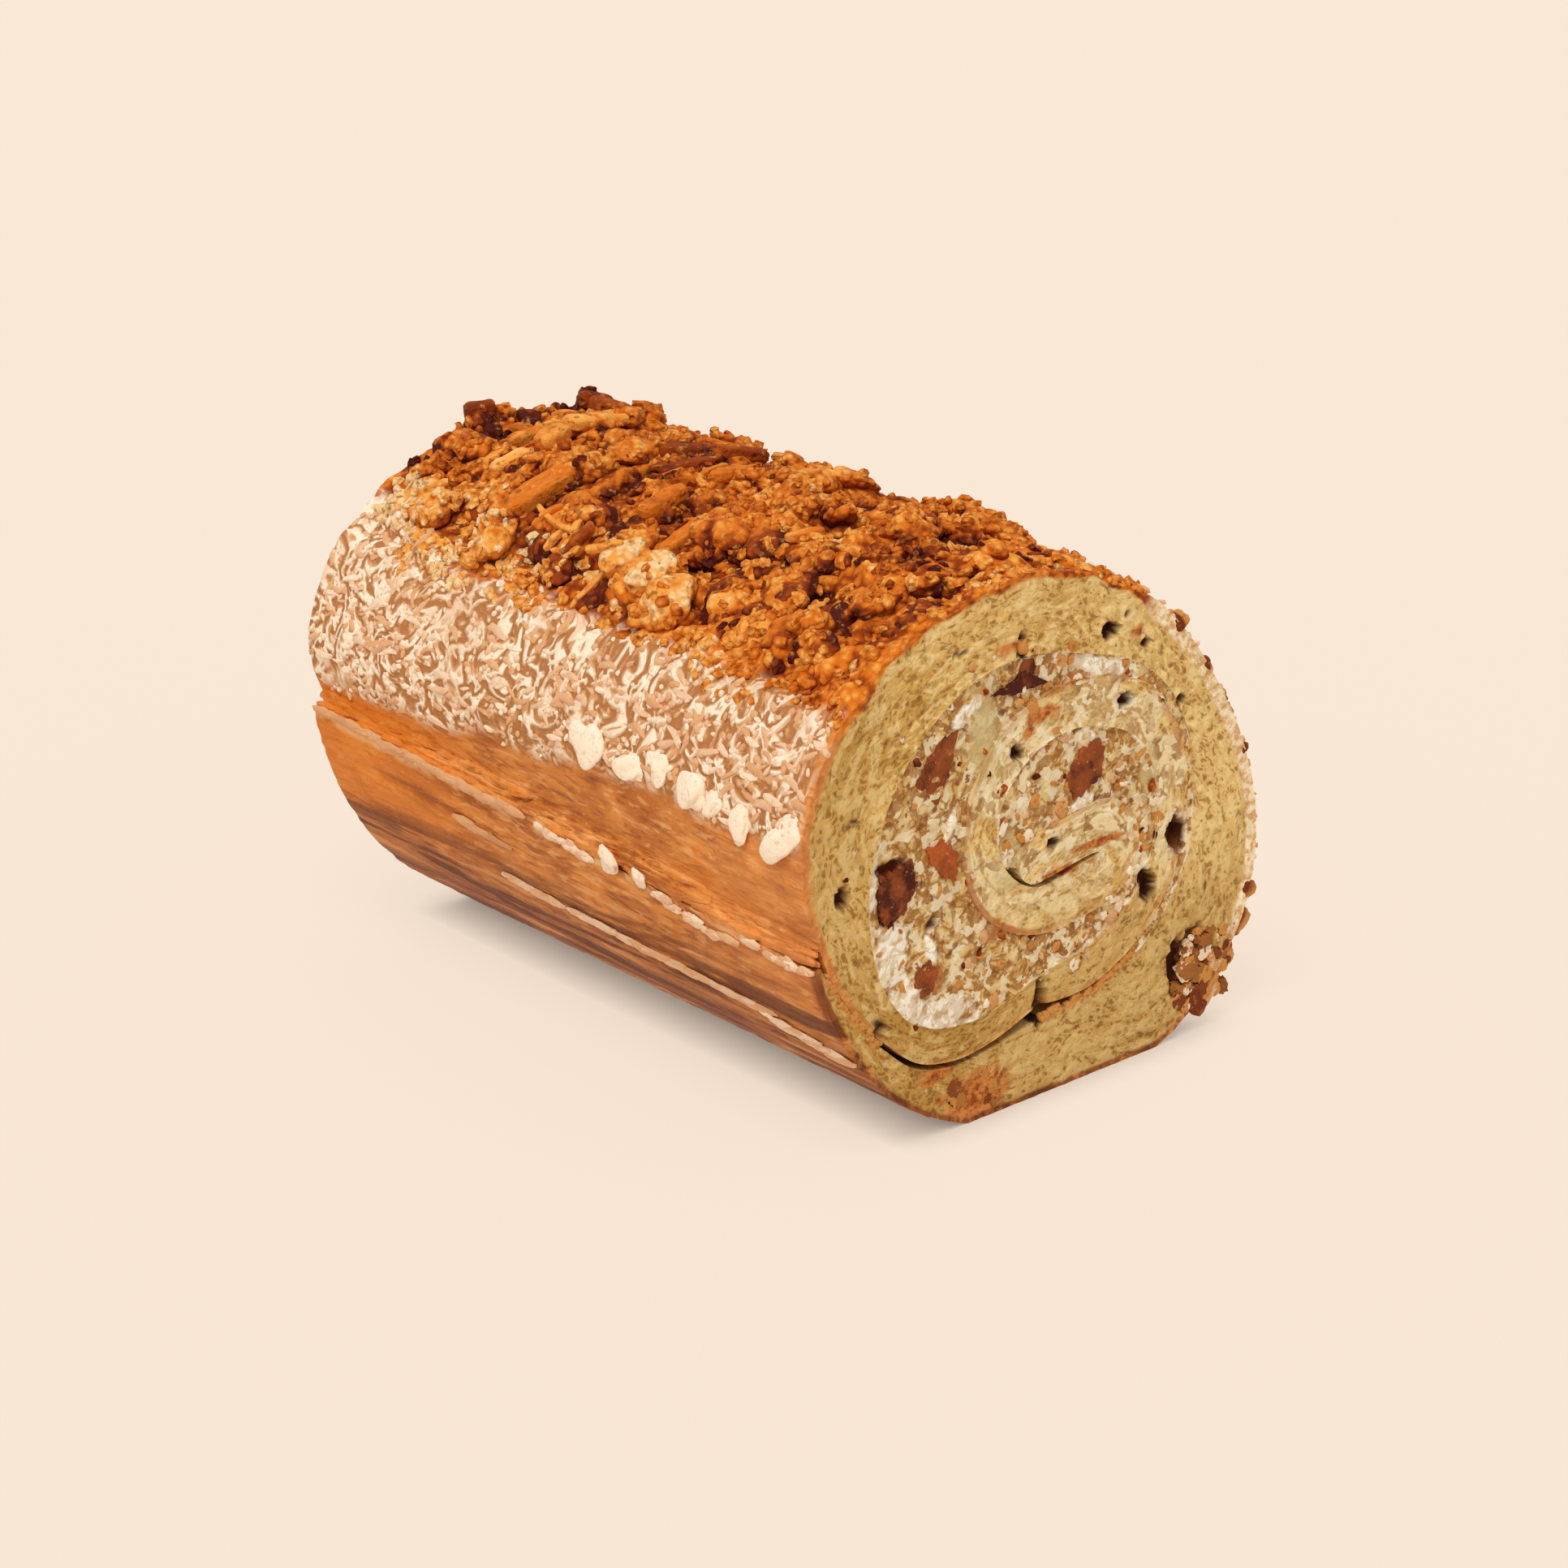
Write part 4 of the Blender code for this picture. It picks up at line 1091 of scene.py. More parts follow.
for place in ("icing", "crust"):
    covered = paint.maths("ADD", paint.fact(place), covered)
matt = paint.maths("MAXIMUM", inside, covered, clamp=True)
paint.tree.links.new(paint.maths("MULTIPLY_ADD", matt, 0.30, 0.58), shader.inputs["Roughness"])
sponge.data.materials.append(sponge_paint)
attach(sponge, "root")
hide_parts("sponge_sheet")
print("sponge material nodes:", len(sponge_paint.node_tree.nodes))

# %% [markdown]
# ## The cream
# Cream fills the gap between the turns, thin on the right, wide on the left, and ends in a pocket
# above the folded tongue. It is made like the sheet: a flat grid with one edge on the turn outside
# it and the other on the turn inside it, extruded over the length and carried into the roll.

# %% The cream's two edges
CREAM_FIRST_ANGLE = 302
CREAM_LAST_ANGLE = 914
CREAM_COLUMNS = 330
CREAM_ROWS = 20
CREAM_OVERLAP = 0.12


def shifted(path, distance):
    """The path moved sideways, to its left where the distance is positive."""
    path = np.array(path, float)
    slope = np.gradient(path, axis=0)
    slope /= np.maximum(np.hypot(*slope.T), 1e-9)[:, None]
    return path + distance * np.stack([-slope[:, 1], slope[:, 0]], axis=1)


def cream_edges(far):
    wide_end = LAST_ANGLE - 360
    gap = np.linspace(CREAM_FIRST_ANGLE, wide_end, 160)
    pocket = np.linspace(wide_end, CREAM_LAST_ANGLE, 90)[1:]
    under = [in_section(a, cream_side(a, far)) for a in gap]
    over = [in_section(a + 360, skin_side(a + 360, far)) for a in gap]
    under_pocket = [in_section(a, cream_side(a, far)) for a in pocket]
    folded = fold(far)[0]
    split = int(CREAM_COLUMNS * 0.62)
    rest = CREAM_COLUMNS + 1 - split
    lower = np.concatenate([spread(under, split), spread([under[-1]] + under_pocket, rest + 1)[1:]])
    upper = np.concatenate([spread(over, split), spread([over[-1]] + folded, rest + 1)[1:]])
    return shifted(lower, -CREAM_OVERLAP), shifted(upper, CREAM_OVERLAP)


near_under, near_over = cream_edges(0.0)
far_under, far_over = cream_edges(1.0)
print("cream edges:", len(near_under), "points each")

# %% White smears that show in the cut: (x, z, width, height, turn), in mm and degrees
NEAR_WHITES = (
    (-27.8, 30.6, 4.6, 11.0, 12), (-24.2, 21.8, 6.0, 7.5, 32), (-18.4, 18.2, 10.0, 4.4, -6),
    (9.8, 63.4, 19.0, 2.4, -21), (-31.2, 44.6, 1.8, 14.0, 4), (-27.4, 56.0, 1.4, 6.0, -30),
    (24.6, 51.0, 2.0, 9.0, 15), (9.4, 52.2, 5.0, 2.6, -30), (18.0, 24.0, 12.0, 1.8, 22),
    (8.6, 43.0, 4.0, 3.0, 0), (-14.0, 62.0, 7.0, 1.8, 30), (-20.4, 28.6, 1.8, 5.0, 20),
    (-17.0, 46.0, 1.6, 6.0, -20),
)
FAR_WHITES = (
    (-28.0, 38.0, 4.0, 12.0, 6), (-14.0, 64.0, 8.0, 4.0, 24), (9.0, 49.0, 7.0, 4.0, 10),
    (-19.0, 22.0, 9.0, 5.0, -20), (-22.0, 54.0, 3.0, 8.0, -30), (16.0, 50.0, 3.0, 6.0, 10),
)


def smear(x, z, smears):
    """How white the cream is at a place of the cut, 0 to 1."""
    whitest = 0.0
    for cx, cz, width, height, turn in smears:
        lean = math.radians(turn)
        a = (x - cx) * math.cos(lean) + (z - cz) * math.sin(lean)
        b = (z - cz) * math.cos(lean) - (x - cx) * math.sin(lean)
        away = math.hypot(a / width, b / height) * 2.0
        ragged = 0.6 * noise.noise(Vector((x, z, 7.0)) / 1.3)
        whitest = max(whitest, ease(1.5 - away + ragged))
    return whitest


# %% Make the cream and carry it into the roll
cream_piece = flat_sheet("cream_swirl", CREAM_COLUMNS, CREAM_ROWS)
flat = flat_places(cream_piece)
rolled = np.zeros((len(flat), 3))
facts = {name: np.zeros(len(flat)) for name in ("white", "bubble", "khaki", "brown")}
for i, (u, w, v) in enumerate(flat):
    column = round(u * CREAM_COLUMNS)
    under = near_under[column] + (far_under[column] - near_under[column]) * v
    over = near_over[column] + (far_over[column] - near_over[column]) * v
    x, z = under + (over - under) * w
    end = -1 if v < 0.5 else 1
    here = Vector((x, z, 11.0 * end))
    wavy = noise.noise(here / 4.2) + 0.6 * noise.noise(here / 1.5)
    rim = 0.7 * ease(1.0 - math.dist((x, z), under) / 0.8 + 1.8 * noise.noise(here / 3.0))
    white = max(smear(x, z, NEAR_WHITES if end < 0 else FAR_WHITES), rim)
    pit, facts["brown"][i], facts["khaki"][i] = shown_in_cut(x, z, end < 0)
    sunk = max(0.50 + 0.50 * wavy - 0.30 * white, pit, 0.05)
    rolled[i] = (x * MM, NEAR_END + LENGTH * v - end * sunk * MM, z * MM)
    facts["white"][i] = white
    # A bubble's pit is painted darker the deeper it is: painted shade in the hole.
    facts["bubble"][i] = ease(pit * BUBBLE_SHADE)
carried(cream_piece, rolled, facts)
print("cream:", len(cream_piece.data.polygons), "faces")

# %% The cream's material
cream_paint, paint, shader, where = new_material("nutty_cream", 0.70, 0.20)
lumps = grain(paint, where, 480.0)
drift = paint.noise(where, 230.0, 3.0, 0.5, 1.2)
winding = winding_bands(paint, where, 230.0, 22.0, 0.62)
bit = chopped_bits(paint, where)
body = paint.layers(
    paint.mix(paint.ramp(drift, 0.40, 0.58), colour(202, 156, 86), colour(222, 184, 116)),
    (paint.ramp(winding, 0.60, 0.95), 0.8, (234, 206, 150)),
    (paint.ramp(winding, 0.26, 0.04), 0.8, (160, 100, 38)),
    (paint.ramp(drift, 0.60, 0.66), 1.0, (214, 190, 128)),
    (paint.ramp(bit, 0.24, 0.12), 0.65, (156, 96, 40)),
    (paint.ramp(bit, 0.66, 0.80), 0.85, (240, 222, 184)),
    (paint.ramp(lumps["Mottle"], 0.56, 0.68), 1.0, (242, 218, 170)),
    (paint.ramp(lumps["Mottle"], 0.44, 0.35), 1.0, (146, 92, 46)),
    (lumps["Pores"], 0.7, (118, 62, 26)),
    (paint.fact("khaki"), 0.8, (210, 188, 130)),
)
paler = paint.layers(
    paint.mix(paint.ramp(lumps["Mottle"], 0.50, 0.36), colour(252, 242, 220), colour(214, 182, 134)),
    (paint.ramp(winding, 0.26, 0.04), 0.4, (190, 146, 92)),
)
body = paint.mix(paint.ramp(paint.fact("white"), 0.25, 0.7), body, paler)
body = paint.layers(
    body,
    (paint.fact("brown"), 0.8, (186, 118, 62)),
    # Painted shade in the bubbles' pits.
    (paint.fact("bubble"), 1.0, (84, 24, 4)),
)
finish(paint, shader, body, paint.maths("MULTIPLY_ADD", bit, 0.7, lumps["Height"]), 0.7, 0.0008)
cream_piece.data.materials.append(cream_paint)
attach(cream_piece, "root")
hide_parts("cream_filling")

# %% [markdown]
# ## Nut pieces
# Each nut was chopped and then cut through by the knife, so its cut face has an angular outline. It
# starts as an icosphere, is stretched to its outline in the CAD node's box, and is cut flush with the
# cut end by a bisect that fills the cut.


# %% Outlines of the cut nuts: corners from 0 to 1 across and up the node's box
NUT_OUTLINES = (
    ((0.00, 0.39), (0.40, 0.75), (0.75, 1.00), (1.00, 0.96), (0.86, 0.50), (0.54, 0.00), (0.36, 0.10)),
    ((0.14, 0.65), (0.57, 1.00), (1.00, 0.81), (0.84, 0.26), (0.20, 0.00), (0.00, 0.38)),
    ((0.00, 0.92), (0.50, 1.00), (1.00, 0.58), (0.85, 0.00), (0.52, 0.14), (0.12, 0.58)),
    ((0.06, 0.88), (0.45, 0.84), (0.92, 1.00), (1.00, 0.55), (0.72, 0.08), (0.20, 0.00), (0.00, 0.40)),
    ((0.00, 0.12), (0.44, 0.46), (0.56, 1.00), (0.78, 0.96), (0.78, 0.44), (1.00, 0.10), (0.50, 0.00)),
    ((0.10, 0.80), (0.60, 1.00), (1.00, 0.60), (0.74, 0.06), (0.30, 0.00), (0.00, 0.34)),
)
# How each is browned, from almost black (0) to orange (1), the near end's nuts after the far end's
NUT_TONES = (0.40, 0.50, 0.35, 0.60, 0.42, 0.50, 0.85, 0.28, 0.08, 0.55)
NUT_MIDDLE = Vector((0.5, 0.45))
NUT_WEAR = 0.22
NUT_GROWN = 1.18
NUT_DETAIL = 5
NUT_SUNK = 0.12
NUT_CUT_EDGE = math.radians(40)


def outline_reach(corners, direction):
    """How far the outline lies from its middle in a direction, which is a 2-D unit vector."""
    reach = 0.0
    for first, second in zip(corners, corners[1:] + corners[:1]):
        start, side = Vector(first) - NUT_MIDDLE, Vector(second) - Vector(first)
        across = direction.x * side.y - direction.y * side.x
        if abs(across) < 1e-9:
            continue
        away = (start.x * side.y - start.y * side.x) / across
        along = (start.x * direction.y - start.y * direction.x) / across
        if away > 0.0 and -1e-6 <= along <= 1.0 + 1e-6:
            reach = max(reach, away)
    return reach


# %% Model a cut nut
def cut_nut(node, seed, corners):
    low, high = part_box(node)
    centre, size = (low + high) / 2, high - low
    near = centre.y < 0
    face = NEAR_END if near else FAR_END
    nothing_selected()
    bpy.ops.mesh.primitive_ico_sphere_add(subdivisions=NUT_DETAIL, radius=0.5, location=(0, 0, 0))
    nut = bpy.context.object
    nut.name = node + "_roasted"
    for point in nut.data.vertices:
        lump = point.co.copy()
        flat_part = Vector((lump.x, lump.z))
        if flat_part.length > 1e-6:
            lumpy = NUT_GROWN * (1.0 + NUT_WEAR * noise.noise(lump * 9.0 + Vector((0, seed, 0))))
            reach = outline_reach(corners, flat_part.normalized()) * lumpy
            flat_part *= 2.0 * reach
        point.co = (
            low.x + (NUT_MIDDLE.x + flat_part.x) * size.x,
            face + lump.y * size.y * 2.0,
            low.z + (NUT_MIDDLE.y + flat_part.y) * size.z,
        )
    edit_everything()
    depth = NUT_SUNK * MM * (1 if near else -1)
    bpy.ops.mesh.bisect(
        plane_co=(0, face + depth, 0), plane_no=(0, 1, 0), use_fill=True,
        clear_inner=near, clear_outer=not near,
    )
    bpy.ops.object.mode_set(mode="OBJECT")
    bpy.ops.object.shade_smooth_by_angle(angle=NUT_CUT_EDGE)
    return nut


nut_paint, paint, shader, where = new_material("roasted_nut", 0.7, 0.2)
specks = grain(paint, where, 900.0)
uneven = paint.maths("MULTIPLY_ADD", paint.noise(where, 340.0, 5.0, 0.65), 2.4, -1.25)
browned = paint.maths("ADD", paint.fact("tone"), uneven)
shell = paint.layers(
    colour(74, 20, 4),
    (paint.ramp(browned, 0.0, 0.5), 1.0, (140, 68, 26)),
    (paint.ramp(browned, 0.5, 1.0), 1.0, (184, 88, 34)),
    (paint.ramp(specks["Mottle"], 0.58, 0.72), 1.0, (206, 140, 76)),
)
finish(paint, shader, shell, specks["Height"], 0.5, 0.0004)
nut_nodes = sorted(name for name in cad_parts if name.startswith("nut_"))
for number, (node, tone) in enumerate(zip(nut_nodes, NUT_TONES)):
    corners = NUT_OUTLINES[(number + 2) % len(NUT_OUTLINES)]
    nut = cut_nut(node, 3.7 * number + 1.0, corners)
    attribute(nut, "tone", [tone] * len(nut.data.vertices))
    nut.data.materials.append(nut_paint)
    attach(nut, "root")
    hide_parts(node)
print("nuts:", nut_nodes)

# %% [markdown]
# ## Small rounds, copied
# Crumbs, nut bits and icing are all made the same way: one small round is modelled, then copied
# with its own size, place and turn into one joined mesh. A tone for each point says how brown it is.


# %% Copy a small round into one joined mesh
def round_template(subdivisions):
    body = bmesh.new()
    bmesh.ops.create_icosphere(body, subdivisions=subdivisions, radius=0.5)
    points = np.array([v.co[:] for v in body.verts])
    faces = np.array([[v.index for v in f.verts] for f in body.faces])
    body.free()
    return points, faces


def worm_template(sides, rings):
    """A round whose poles lie along x, cut into few long faces, to be stretched into a worm."""
    body = bmesh.new()
    bmesh.ops.create_uvsphere(body, u_segments=sides, v_segments=rings, radius=0.5)
    bmesh.ops.triangulate(body, faces=body.faces[:])
    points = np.array([(v.co.z, v.co.y, -v.co.x) for v in body.verts])
    faces = np.array([[v.index for v in f.verts] for f in body.faces])
    body.free()
    return points, faces


ROUNDS = {detail: round_template(detail) for detail in (1, 2, 3, 4)}
ROUNDS["worm"] = worm_template(6, 9)
END_INSETS = (0.01, 0.30)


def turned(out, spin):
    """A turn that stands a crumb's own up along out, after spinning it about that."""
    facing = out.to_track_quat("Z", "Y").to_matrix()
    return np.array(facing @ Matrix.Rotation(spin, 3, "Z"))


def keep_in_box(points, draw):
    """The copy lowered under the CAD box's top and cut off at its ends, at a depth of its own."""
    inset = draw.uniform(*END_INSETS) * MM
    low, high = np.array(CAD_BOX[0]), np.array(CAD_BOX[1])
    too_high = max(0.0, points[:, 2].max() - high[2] + inset)
    return np.clip(points - (0.0, 0.0, too_high), low + (0.0, inset, 0.0), high - (0.0, inset, 0.0))


def join_copies(name, copies, material, grainy=1.0):
    """One piece from (points, faces, tone) copies. The tone is a number or one for each point."""
    draw = random.Random(name)
    points = np.concatenate([keep_in_box(c[0], draw) for c in copies])
    starts = np.cumsum([0] + [len(c[0]) for c in copies[:-1]])
    faces = np.concatenate([c[1] + start for c, start in zip(copies, starts)])
    piece = mesh_piece(name, points, faces.tolist())
    attribute(piece, "tone", np.concatenate([np.broadcast_to(c[2], len(c[0])) for c in copies]))
    attribute(piece, "grainy", [grainy] * len(points))
    piece.data.materials.append(material)
    only(piece)
    bpy.ops.object.shade_smooth_by_angle(angle=SMOOTH_ANGLE)
    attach(piece, "root")
    print(name, len(copies), "copies,", len(faces), "faces")
    return piece


def odd_shape(draw, size, smallest, largest):
    """Three sizes in metres, each drawn between two shares of a size in mm."""
    return [size * MM * draw.uniform(smallest, largest) for _ in range(3)]


def small_round(detail, draw, place, out, shape, spin, lean=0.0, boxy=1.0, rough=0.25, bend=0.0):
    """(points, faces) of one copy: shape is its three sizes, boxy under 1 squares it."""
    points, faces = ROUNDS[detail]
    points = np.sign(points) * np.abs(points * 2.0) ** boxy / 2.0
    uneven = 1.0 + np.array([draw.uniform(-rough, rough) for _ in range(len(points))])[:, None]
    shaped = points * uneven * np.array(shape)
    shaped[:, 1] += bend * shape[0] * (4.0 * points[:, 0] ** 2 - 0.35)
    tipped = (out + Vector([draw.uniform(-lean, lean) for _ in range(3)])).normalized()
    return shaped @ turned(tipped, spin).T + np.array(place), faces


# %% The topping's material
topping_paint, paint, shader, where = new_material("browned_crumbs", 0.72, 0.18)
crumbs = grain(paint, where, 560.0)
cells = paint.cells(where, 760.0)["Distance"]
domed = paint.maths("SUBTRACT", 0.42, cells)
domed = paint.times(domed, paint.fact("grainy"))
baked = crust_colours(paint, paint.maths("MULTIPLY_ADD", domed, 0.5, paint.fact("tone")), crumbs["Mottle"])
baked = paint.layers(baked, (crumbs["Pores"], 0.5, (104, 38, 4)))
finish(paint, shader, baked, paint.maths("MULTIPLY_ADD", domed, 1.8, crumbs["Height"]), 0.8, 0.0007)

# %% [markdown]
# ## Bits in the cut
# The cream holds chopped nuts and broken sponge, and the knife has dragged some over the inner
# turns. Each bit is half sunk in the cut end, so the cut leaves a flat face on it.


# %% Nut bits and sponge bits in the cut ends
# How deep a bit sits, over its size, and how far along the cream the first one lies
BIT_SUNK = 0.36
FIRST_BITS = 0.18
SPIN = 3.1


def on_a_nut(x, z, end):
    for node in nut_nodes:
        low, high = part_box(node)
        if low.y * end > 0 and low.x < x * MM < high.x and low.z < z * MM < high.z:
            return True
    return False


def cut_bits(seed, wanted, sizes, tones, stretch):
    draw = random.Random(seed)
    copies = []
    for end, under, over in ((-1, near_under, near_over), (1, far_under, far_over)):
        for _ in range(wanted):
            column = draw.randrange(int(CREAM_COLUMNS * FIRST_BITS), CREAM_COLUMNS)
            w = draw.uniform(-0.25, 1.15)
            x, z = under[column] + (over[column] - under[column]) * w
            if on_a_nut(x, z, end):
                continue
            size = draw.uniform(*sizes)
            y = (FAR_END if end > 0 else NEAR_END) - end * BIT_SUNK * size * MM
            shape = odd_shape(draw, size, *stretch)
            place = Vector((x * MM, y, z * MM))
            made = small_round(2, draw, place, Vector((0, end, 0)), shape, draw.uniform(0, SPIN))
            copies.append((*made, draw.uniform(*tones)))
    return copies


join_copies(
    "nut_bits", cut_bits(51, 40, (0.8, 2.4), (0.05, 0.42), (0.4, 1.2)), topping_paint,
)
cream_bits_paint, paint, shader, where = new_material("broken_sponge", 0.8, 0.2)
bits = grain(paint, where, 700.0)
broken = paint.layers(
    colour(116, 46, 10),
    (paint.ramp(paint.fact("tone"), 0.0, 0.28), 1.0, (204, 138, 66)),
    (paint.ramp(paint.fact("tone"), 0.35, 0.9), 1.0, (244, 228, 198)),
    (paint.ramp(bits["Mottle"], 0.45, 0.34), 1.0, (160, 106, 50)),
)
finish(paint, shader, broken, bits["Height"], 0.5, 0.0004)
join_copies(
    "sponge_bits", cut_bits(52, 190, (0.9, 2.6), (0.15, 0.85), (0.4, 1.3)), cream_bits_paint,
)

# %% [markdown]
# ## The crumb topping
# The topping is baked crumbs and chopped nuts. The large ones lie where the CAD solid has them, so
# the same seeded draws are made here in the same order, on a finer round.

# %% Where the topping lies, as in the solid
TOPPING = (
    ("coarse", 61, 143, 0.06, 0.99, 7, 14, 5.2, 8.4, 0.84, 0.62, 0.35),
    ("fine", 63, 147, 0.05, 0.99, 8, 15, 2.8, 4.2, 0.50, 0.80, 0.30),
    ("stray", -38, 54, 0.03, 0.96, 6, 8, 2.0, 3.2, 0.62, 0.80, 0.72),
    ("foot", -54, -34, 0.00, 0.05, 4, 2, 3.6, 5.2, 1.00, 0.95, 0.15),
    ("rim", -30, 56, 0.00, 0.02, 9, 1, 2.0, 3.4, 0.70, 0.95, 0.15),
)
SINGLE_CRUMBS = (
    (113.5, 0.975, 6.6, 1.00), (84.0, 0.970, 8.4, 0.95), (141.0, 0.588, 6.6, 0.60),
    (137.5, 0.385, 6.0, 0.60), (138.0, 0.110, 4.8, 0.60), (136.5, 0.640, 5.6, 0.60),
)
TOPPING_JITTER = 0.42
TOPPING_LIFT = 0.06
NEAR_SMALLER = 0.5
NEAR_SMALLER_END = 0.2
ICING_LUMPS = (
    (0.036, 168.0, 6.2), (0.112, 169.0, 4.8), (0.160, 167.0, 3.8), (0.200, 167.0, 6.8),
    (0.262, 165.5, 4.0), (0.315, 167.0, 5.2), (0.398, 166.0, 6.0),
)
ICING_LUMP_HEIGHT = 0.36
SEED = 7


def on_skin(angle, share):
    """A point on the roll's skin, in metres, and the direction straight out from it."""
    (x0, z0), (x1, z1) = (in_section(angle + d, outline(angle + d)) for d in (-2, 2))
    return in_roll(angle, outline(angle), share), Vector((z1 - z0, 0.0, x0 - x1)).normalized()


def draw_shape(draw, squash):
    turn = Vector((draw.random(), draw.random(), draw.random())) * 2 * math.pi
    stretch = (draw.uniform(0.9, 1.3), draw.uniform(0.8, 1.15), squash)
    return turn, stretch, draw.uniform(0, math.pi)


def topping_seats():
    """(kind, place, out, size in mm, turn, stretch, spin) of each large crumb."""
    draw = random.Random(SEED)
    seats = []
    for kind, a0, a1, y0, y1, rows, columns, small, large, used, squash, room in TOPPING:
        for row in range(rows):
            for column in range(columns):
                jitter = [draw.uniform(-TOPPING_JITTER, TOPPING_JITTER) for _ in range(2)]
                size = draw.uniform(small, large)
                if draw.random() > used:
                    continue
                angle = a0 + (a1 - a0) * (row + 0.5 + jitter[0]) / rows
                share = y0 + (y1 - y0) * (column + 0.5 + jitter[1]) / columns
                if kind in ("coarse", "fine"):
                    size *= 1.0 - NEAR_SMALLER * (1.0 - ease(share / NEAR_SMALLER_END))
                kept = room * size * MM / LENGTH
                share = min(max(share, kept), 1.0 - kept)
                place, out = on_skin(angle, share)
                seat = place + out * (relief(place, angle, share) + TOPPING_LIFT * size) * MM
                seats.append((kind, seat, out, size, *draw_shape(draw, squash)))
    for angle, share, width, squash in SINGLE_CRUMBS:
        place, out = on_skin(angle, share)
        seat = place + out * relief(place, angle, share) * MM
        seats.append(("single", seat, out, width, *draw_shape(draw, squash)))
    return seats


SEATS = topping_seats()
print("large crumbs:", len(SEATS))


# %% Shape the large crumbs
def place_of(point):
    """(angle, share, mm above the smooth skin) of a point near the roll's outside."""
    x, z = point[0] / MM - EYE[0], point[2] / MM - EYE[1]
    angle = math.degrees(math.atan2(z, x)) % 360
    return angle, (point[1] - NEAR_END) / LENGTH, math.hypot(x, z) - outline(angle)


BULGE = 0.55
CRUMB_GRAIN = 1.35
GRAIN_MIDDLE = 0.35
GRAIN_HEIGHT = 0.55
SMALL_CRUMB = 3
SMOOTH_LUMP = 0.1
# How much darker a crumb is in the skin's hollows: partly a browner crust, partly painted shade.
DARK_IN_HOLLOWS = 0.7


def rough_crumb(detail, seat, cragginess, base_tone):
    """A large crumb with a granular face: (points, faces, tone at each point)."""
    kind, place, out, size, turn, stretch, spin = seat
    points, faces = ROUNDS[detail]
    turn_in = turned(out, spin)
    shaped, tones = np.empty_like(points), np.empty(len(points))
    for i, point in enumerate(points):
        here = Vector(point)
        bulge = 1.0 + BULGE * noise.noise(here * 1.7 + turn * 3)
        bulge += cragginess * (noise.noise(here * 4.0 + turn) - 0.15)
        spot = turn_in @ (point * bulge * size * MM * np.array(stretch)) + np.array(place)
        grains = GRAIN_MIDDLE - noise.voronoi(Vector(spot) / (CRUMB_GRAIN * MM))[0][0]
        angle, share, above = place_of(spot)
        deep, dark = hollow(angle, share)
        grainy = SMOOTH_LUMP if kind == "lump" else 0.25 + 0.75 * granular(angle, share)
        lift = GRAIN_HEIGHT * grains * (1.0 if size > SMALL_CRUMB else 0.4) * grainy - deep
        shaped[i] = spot + np.array(out) * lift * MM
        drift = 0.3 * noise.noise(Vector(spot) / (3.0 * MM)) + 0.07 - 0.14 * share
        # Painted shade: a crumb is darker low down, near the skin, and paler higher up.
        drift += 0.2 * (min(above, 3.0) - 1.9) + 0.45 * grains * grainy
        # In the hollows it is darker again: partly a browner crust, partly painted shade.
        tones[i] = base_tone + drift + pale_rim(angle, share) - DARK_IN_HOLLOWS * dark
    return shaped, faces, tones


# %% The large crumbs
CRUMB_TONES = (0.44, 0.66)
LOWER_EDGE_PALER = 0.20
SINGLE_TONES = (0.10, 0.52)
STRAY_TONES = (0.05, 0.75)
CRAGGINESS = 0.18
RIM_CRAGGINESS = 0.22
draw = random.Random(SEED + 5)
lumps_made, rim_made = [], []
for seat in SEATS:
    kind, angle = seat[0], place_of(seat[1])[0]
    if kind in ("coarse", "fine", "single"):
        base = draw.uniform(*CRUMB_TONES) + LOWER_EDGE_PALER * ease((angle - 126) / 8)
        if kind == "single":
            base = SINGLE_TONES[angle > 120]
        lumps_made.append(rough_crumb(3 if kind == "fine" else 4, seat, CRAGGINESS, base))
    else:
        rim_made.append(rough_crumb(3, seat, RIM_CRAGGINESS, draw.uniform(*STRAY_TONES)))
crumb_lumps = join_copies("crumb_lumps", lumps_made, topping_paint, 0.75)

# %% The knife has broken the cut's foot and its lower left corner: crumbs lie in the hollows
# The same knife has smeared crumb over the first stretch of the seam.
BROKEN_SPOTS = (
    # (x, z, width, height in mm, crumbs, smallest and largest, lowest and highest tone)
    (34.0, 10.0, 11.0, 12.0, 28, 1.4, 3.4, 0.00, 0.14), (35.0, 10.0, 9.0, 12.0, 30, 1.2, 3.2, 0.24, 0.78),
    (-12.0, 4.4, 9.0, 6.0, 22, 1.2, 2.8, 0.00, 0.32),
)
# (first and last angle, crumbs) of each stretch
CLOSED_GAPS = ((192.0, 212.5, 40), (262.0, 302.0, 44))
GAP_TONES = (0.24, 0.40)
NEAR_OUT = Vector((0, -1, 0))
draw = random.Random(91)
for x0, z0, width, height, count, small, large, dark_tone, pale_tone in BROKEN_SPOTS:
    for _ in range(count):
        x, z = x0 + width * draw.uniform(-0.5, 0.5), z0 + height * draw.uniform(-0.5, 0.5)
        size = draw.uniform(small, large)
        place = Vector((x * MM, NEAR_END + draw.uniform(0.1, 0.5) * size * MM, max(z, size * 0.45) * MM))
        shape = odd_shape(draw, size, 0.6, 1.15)
        made = small_round(3, draw, place, NEAR_OUT, shape, draw.uniform(0, SPIN), 0.6, 0.8)
        rim_made.append((*made, draw.uniform(dark_tone, pale_tone)))
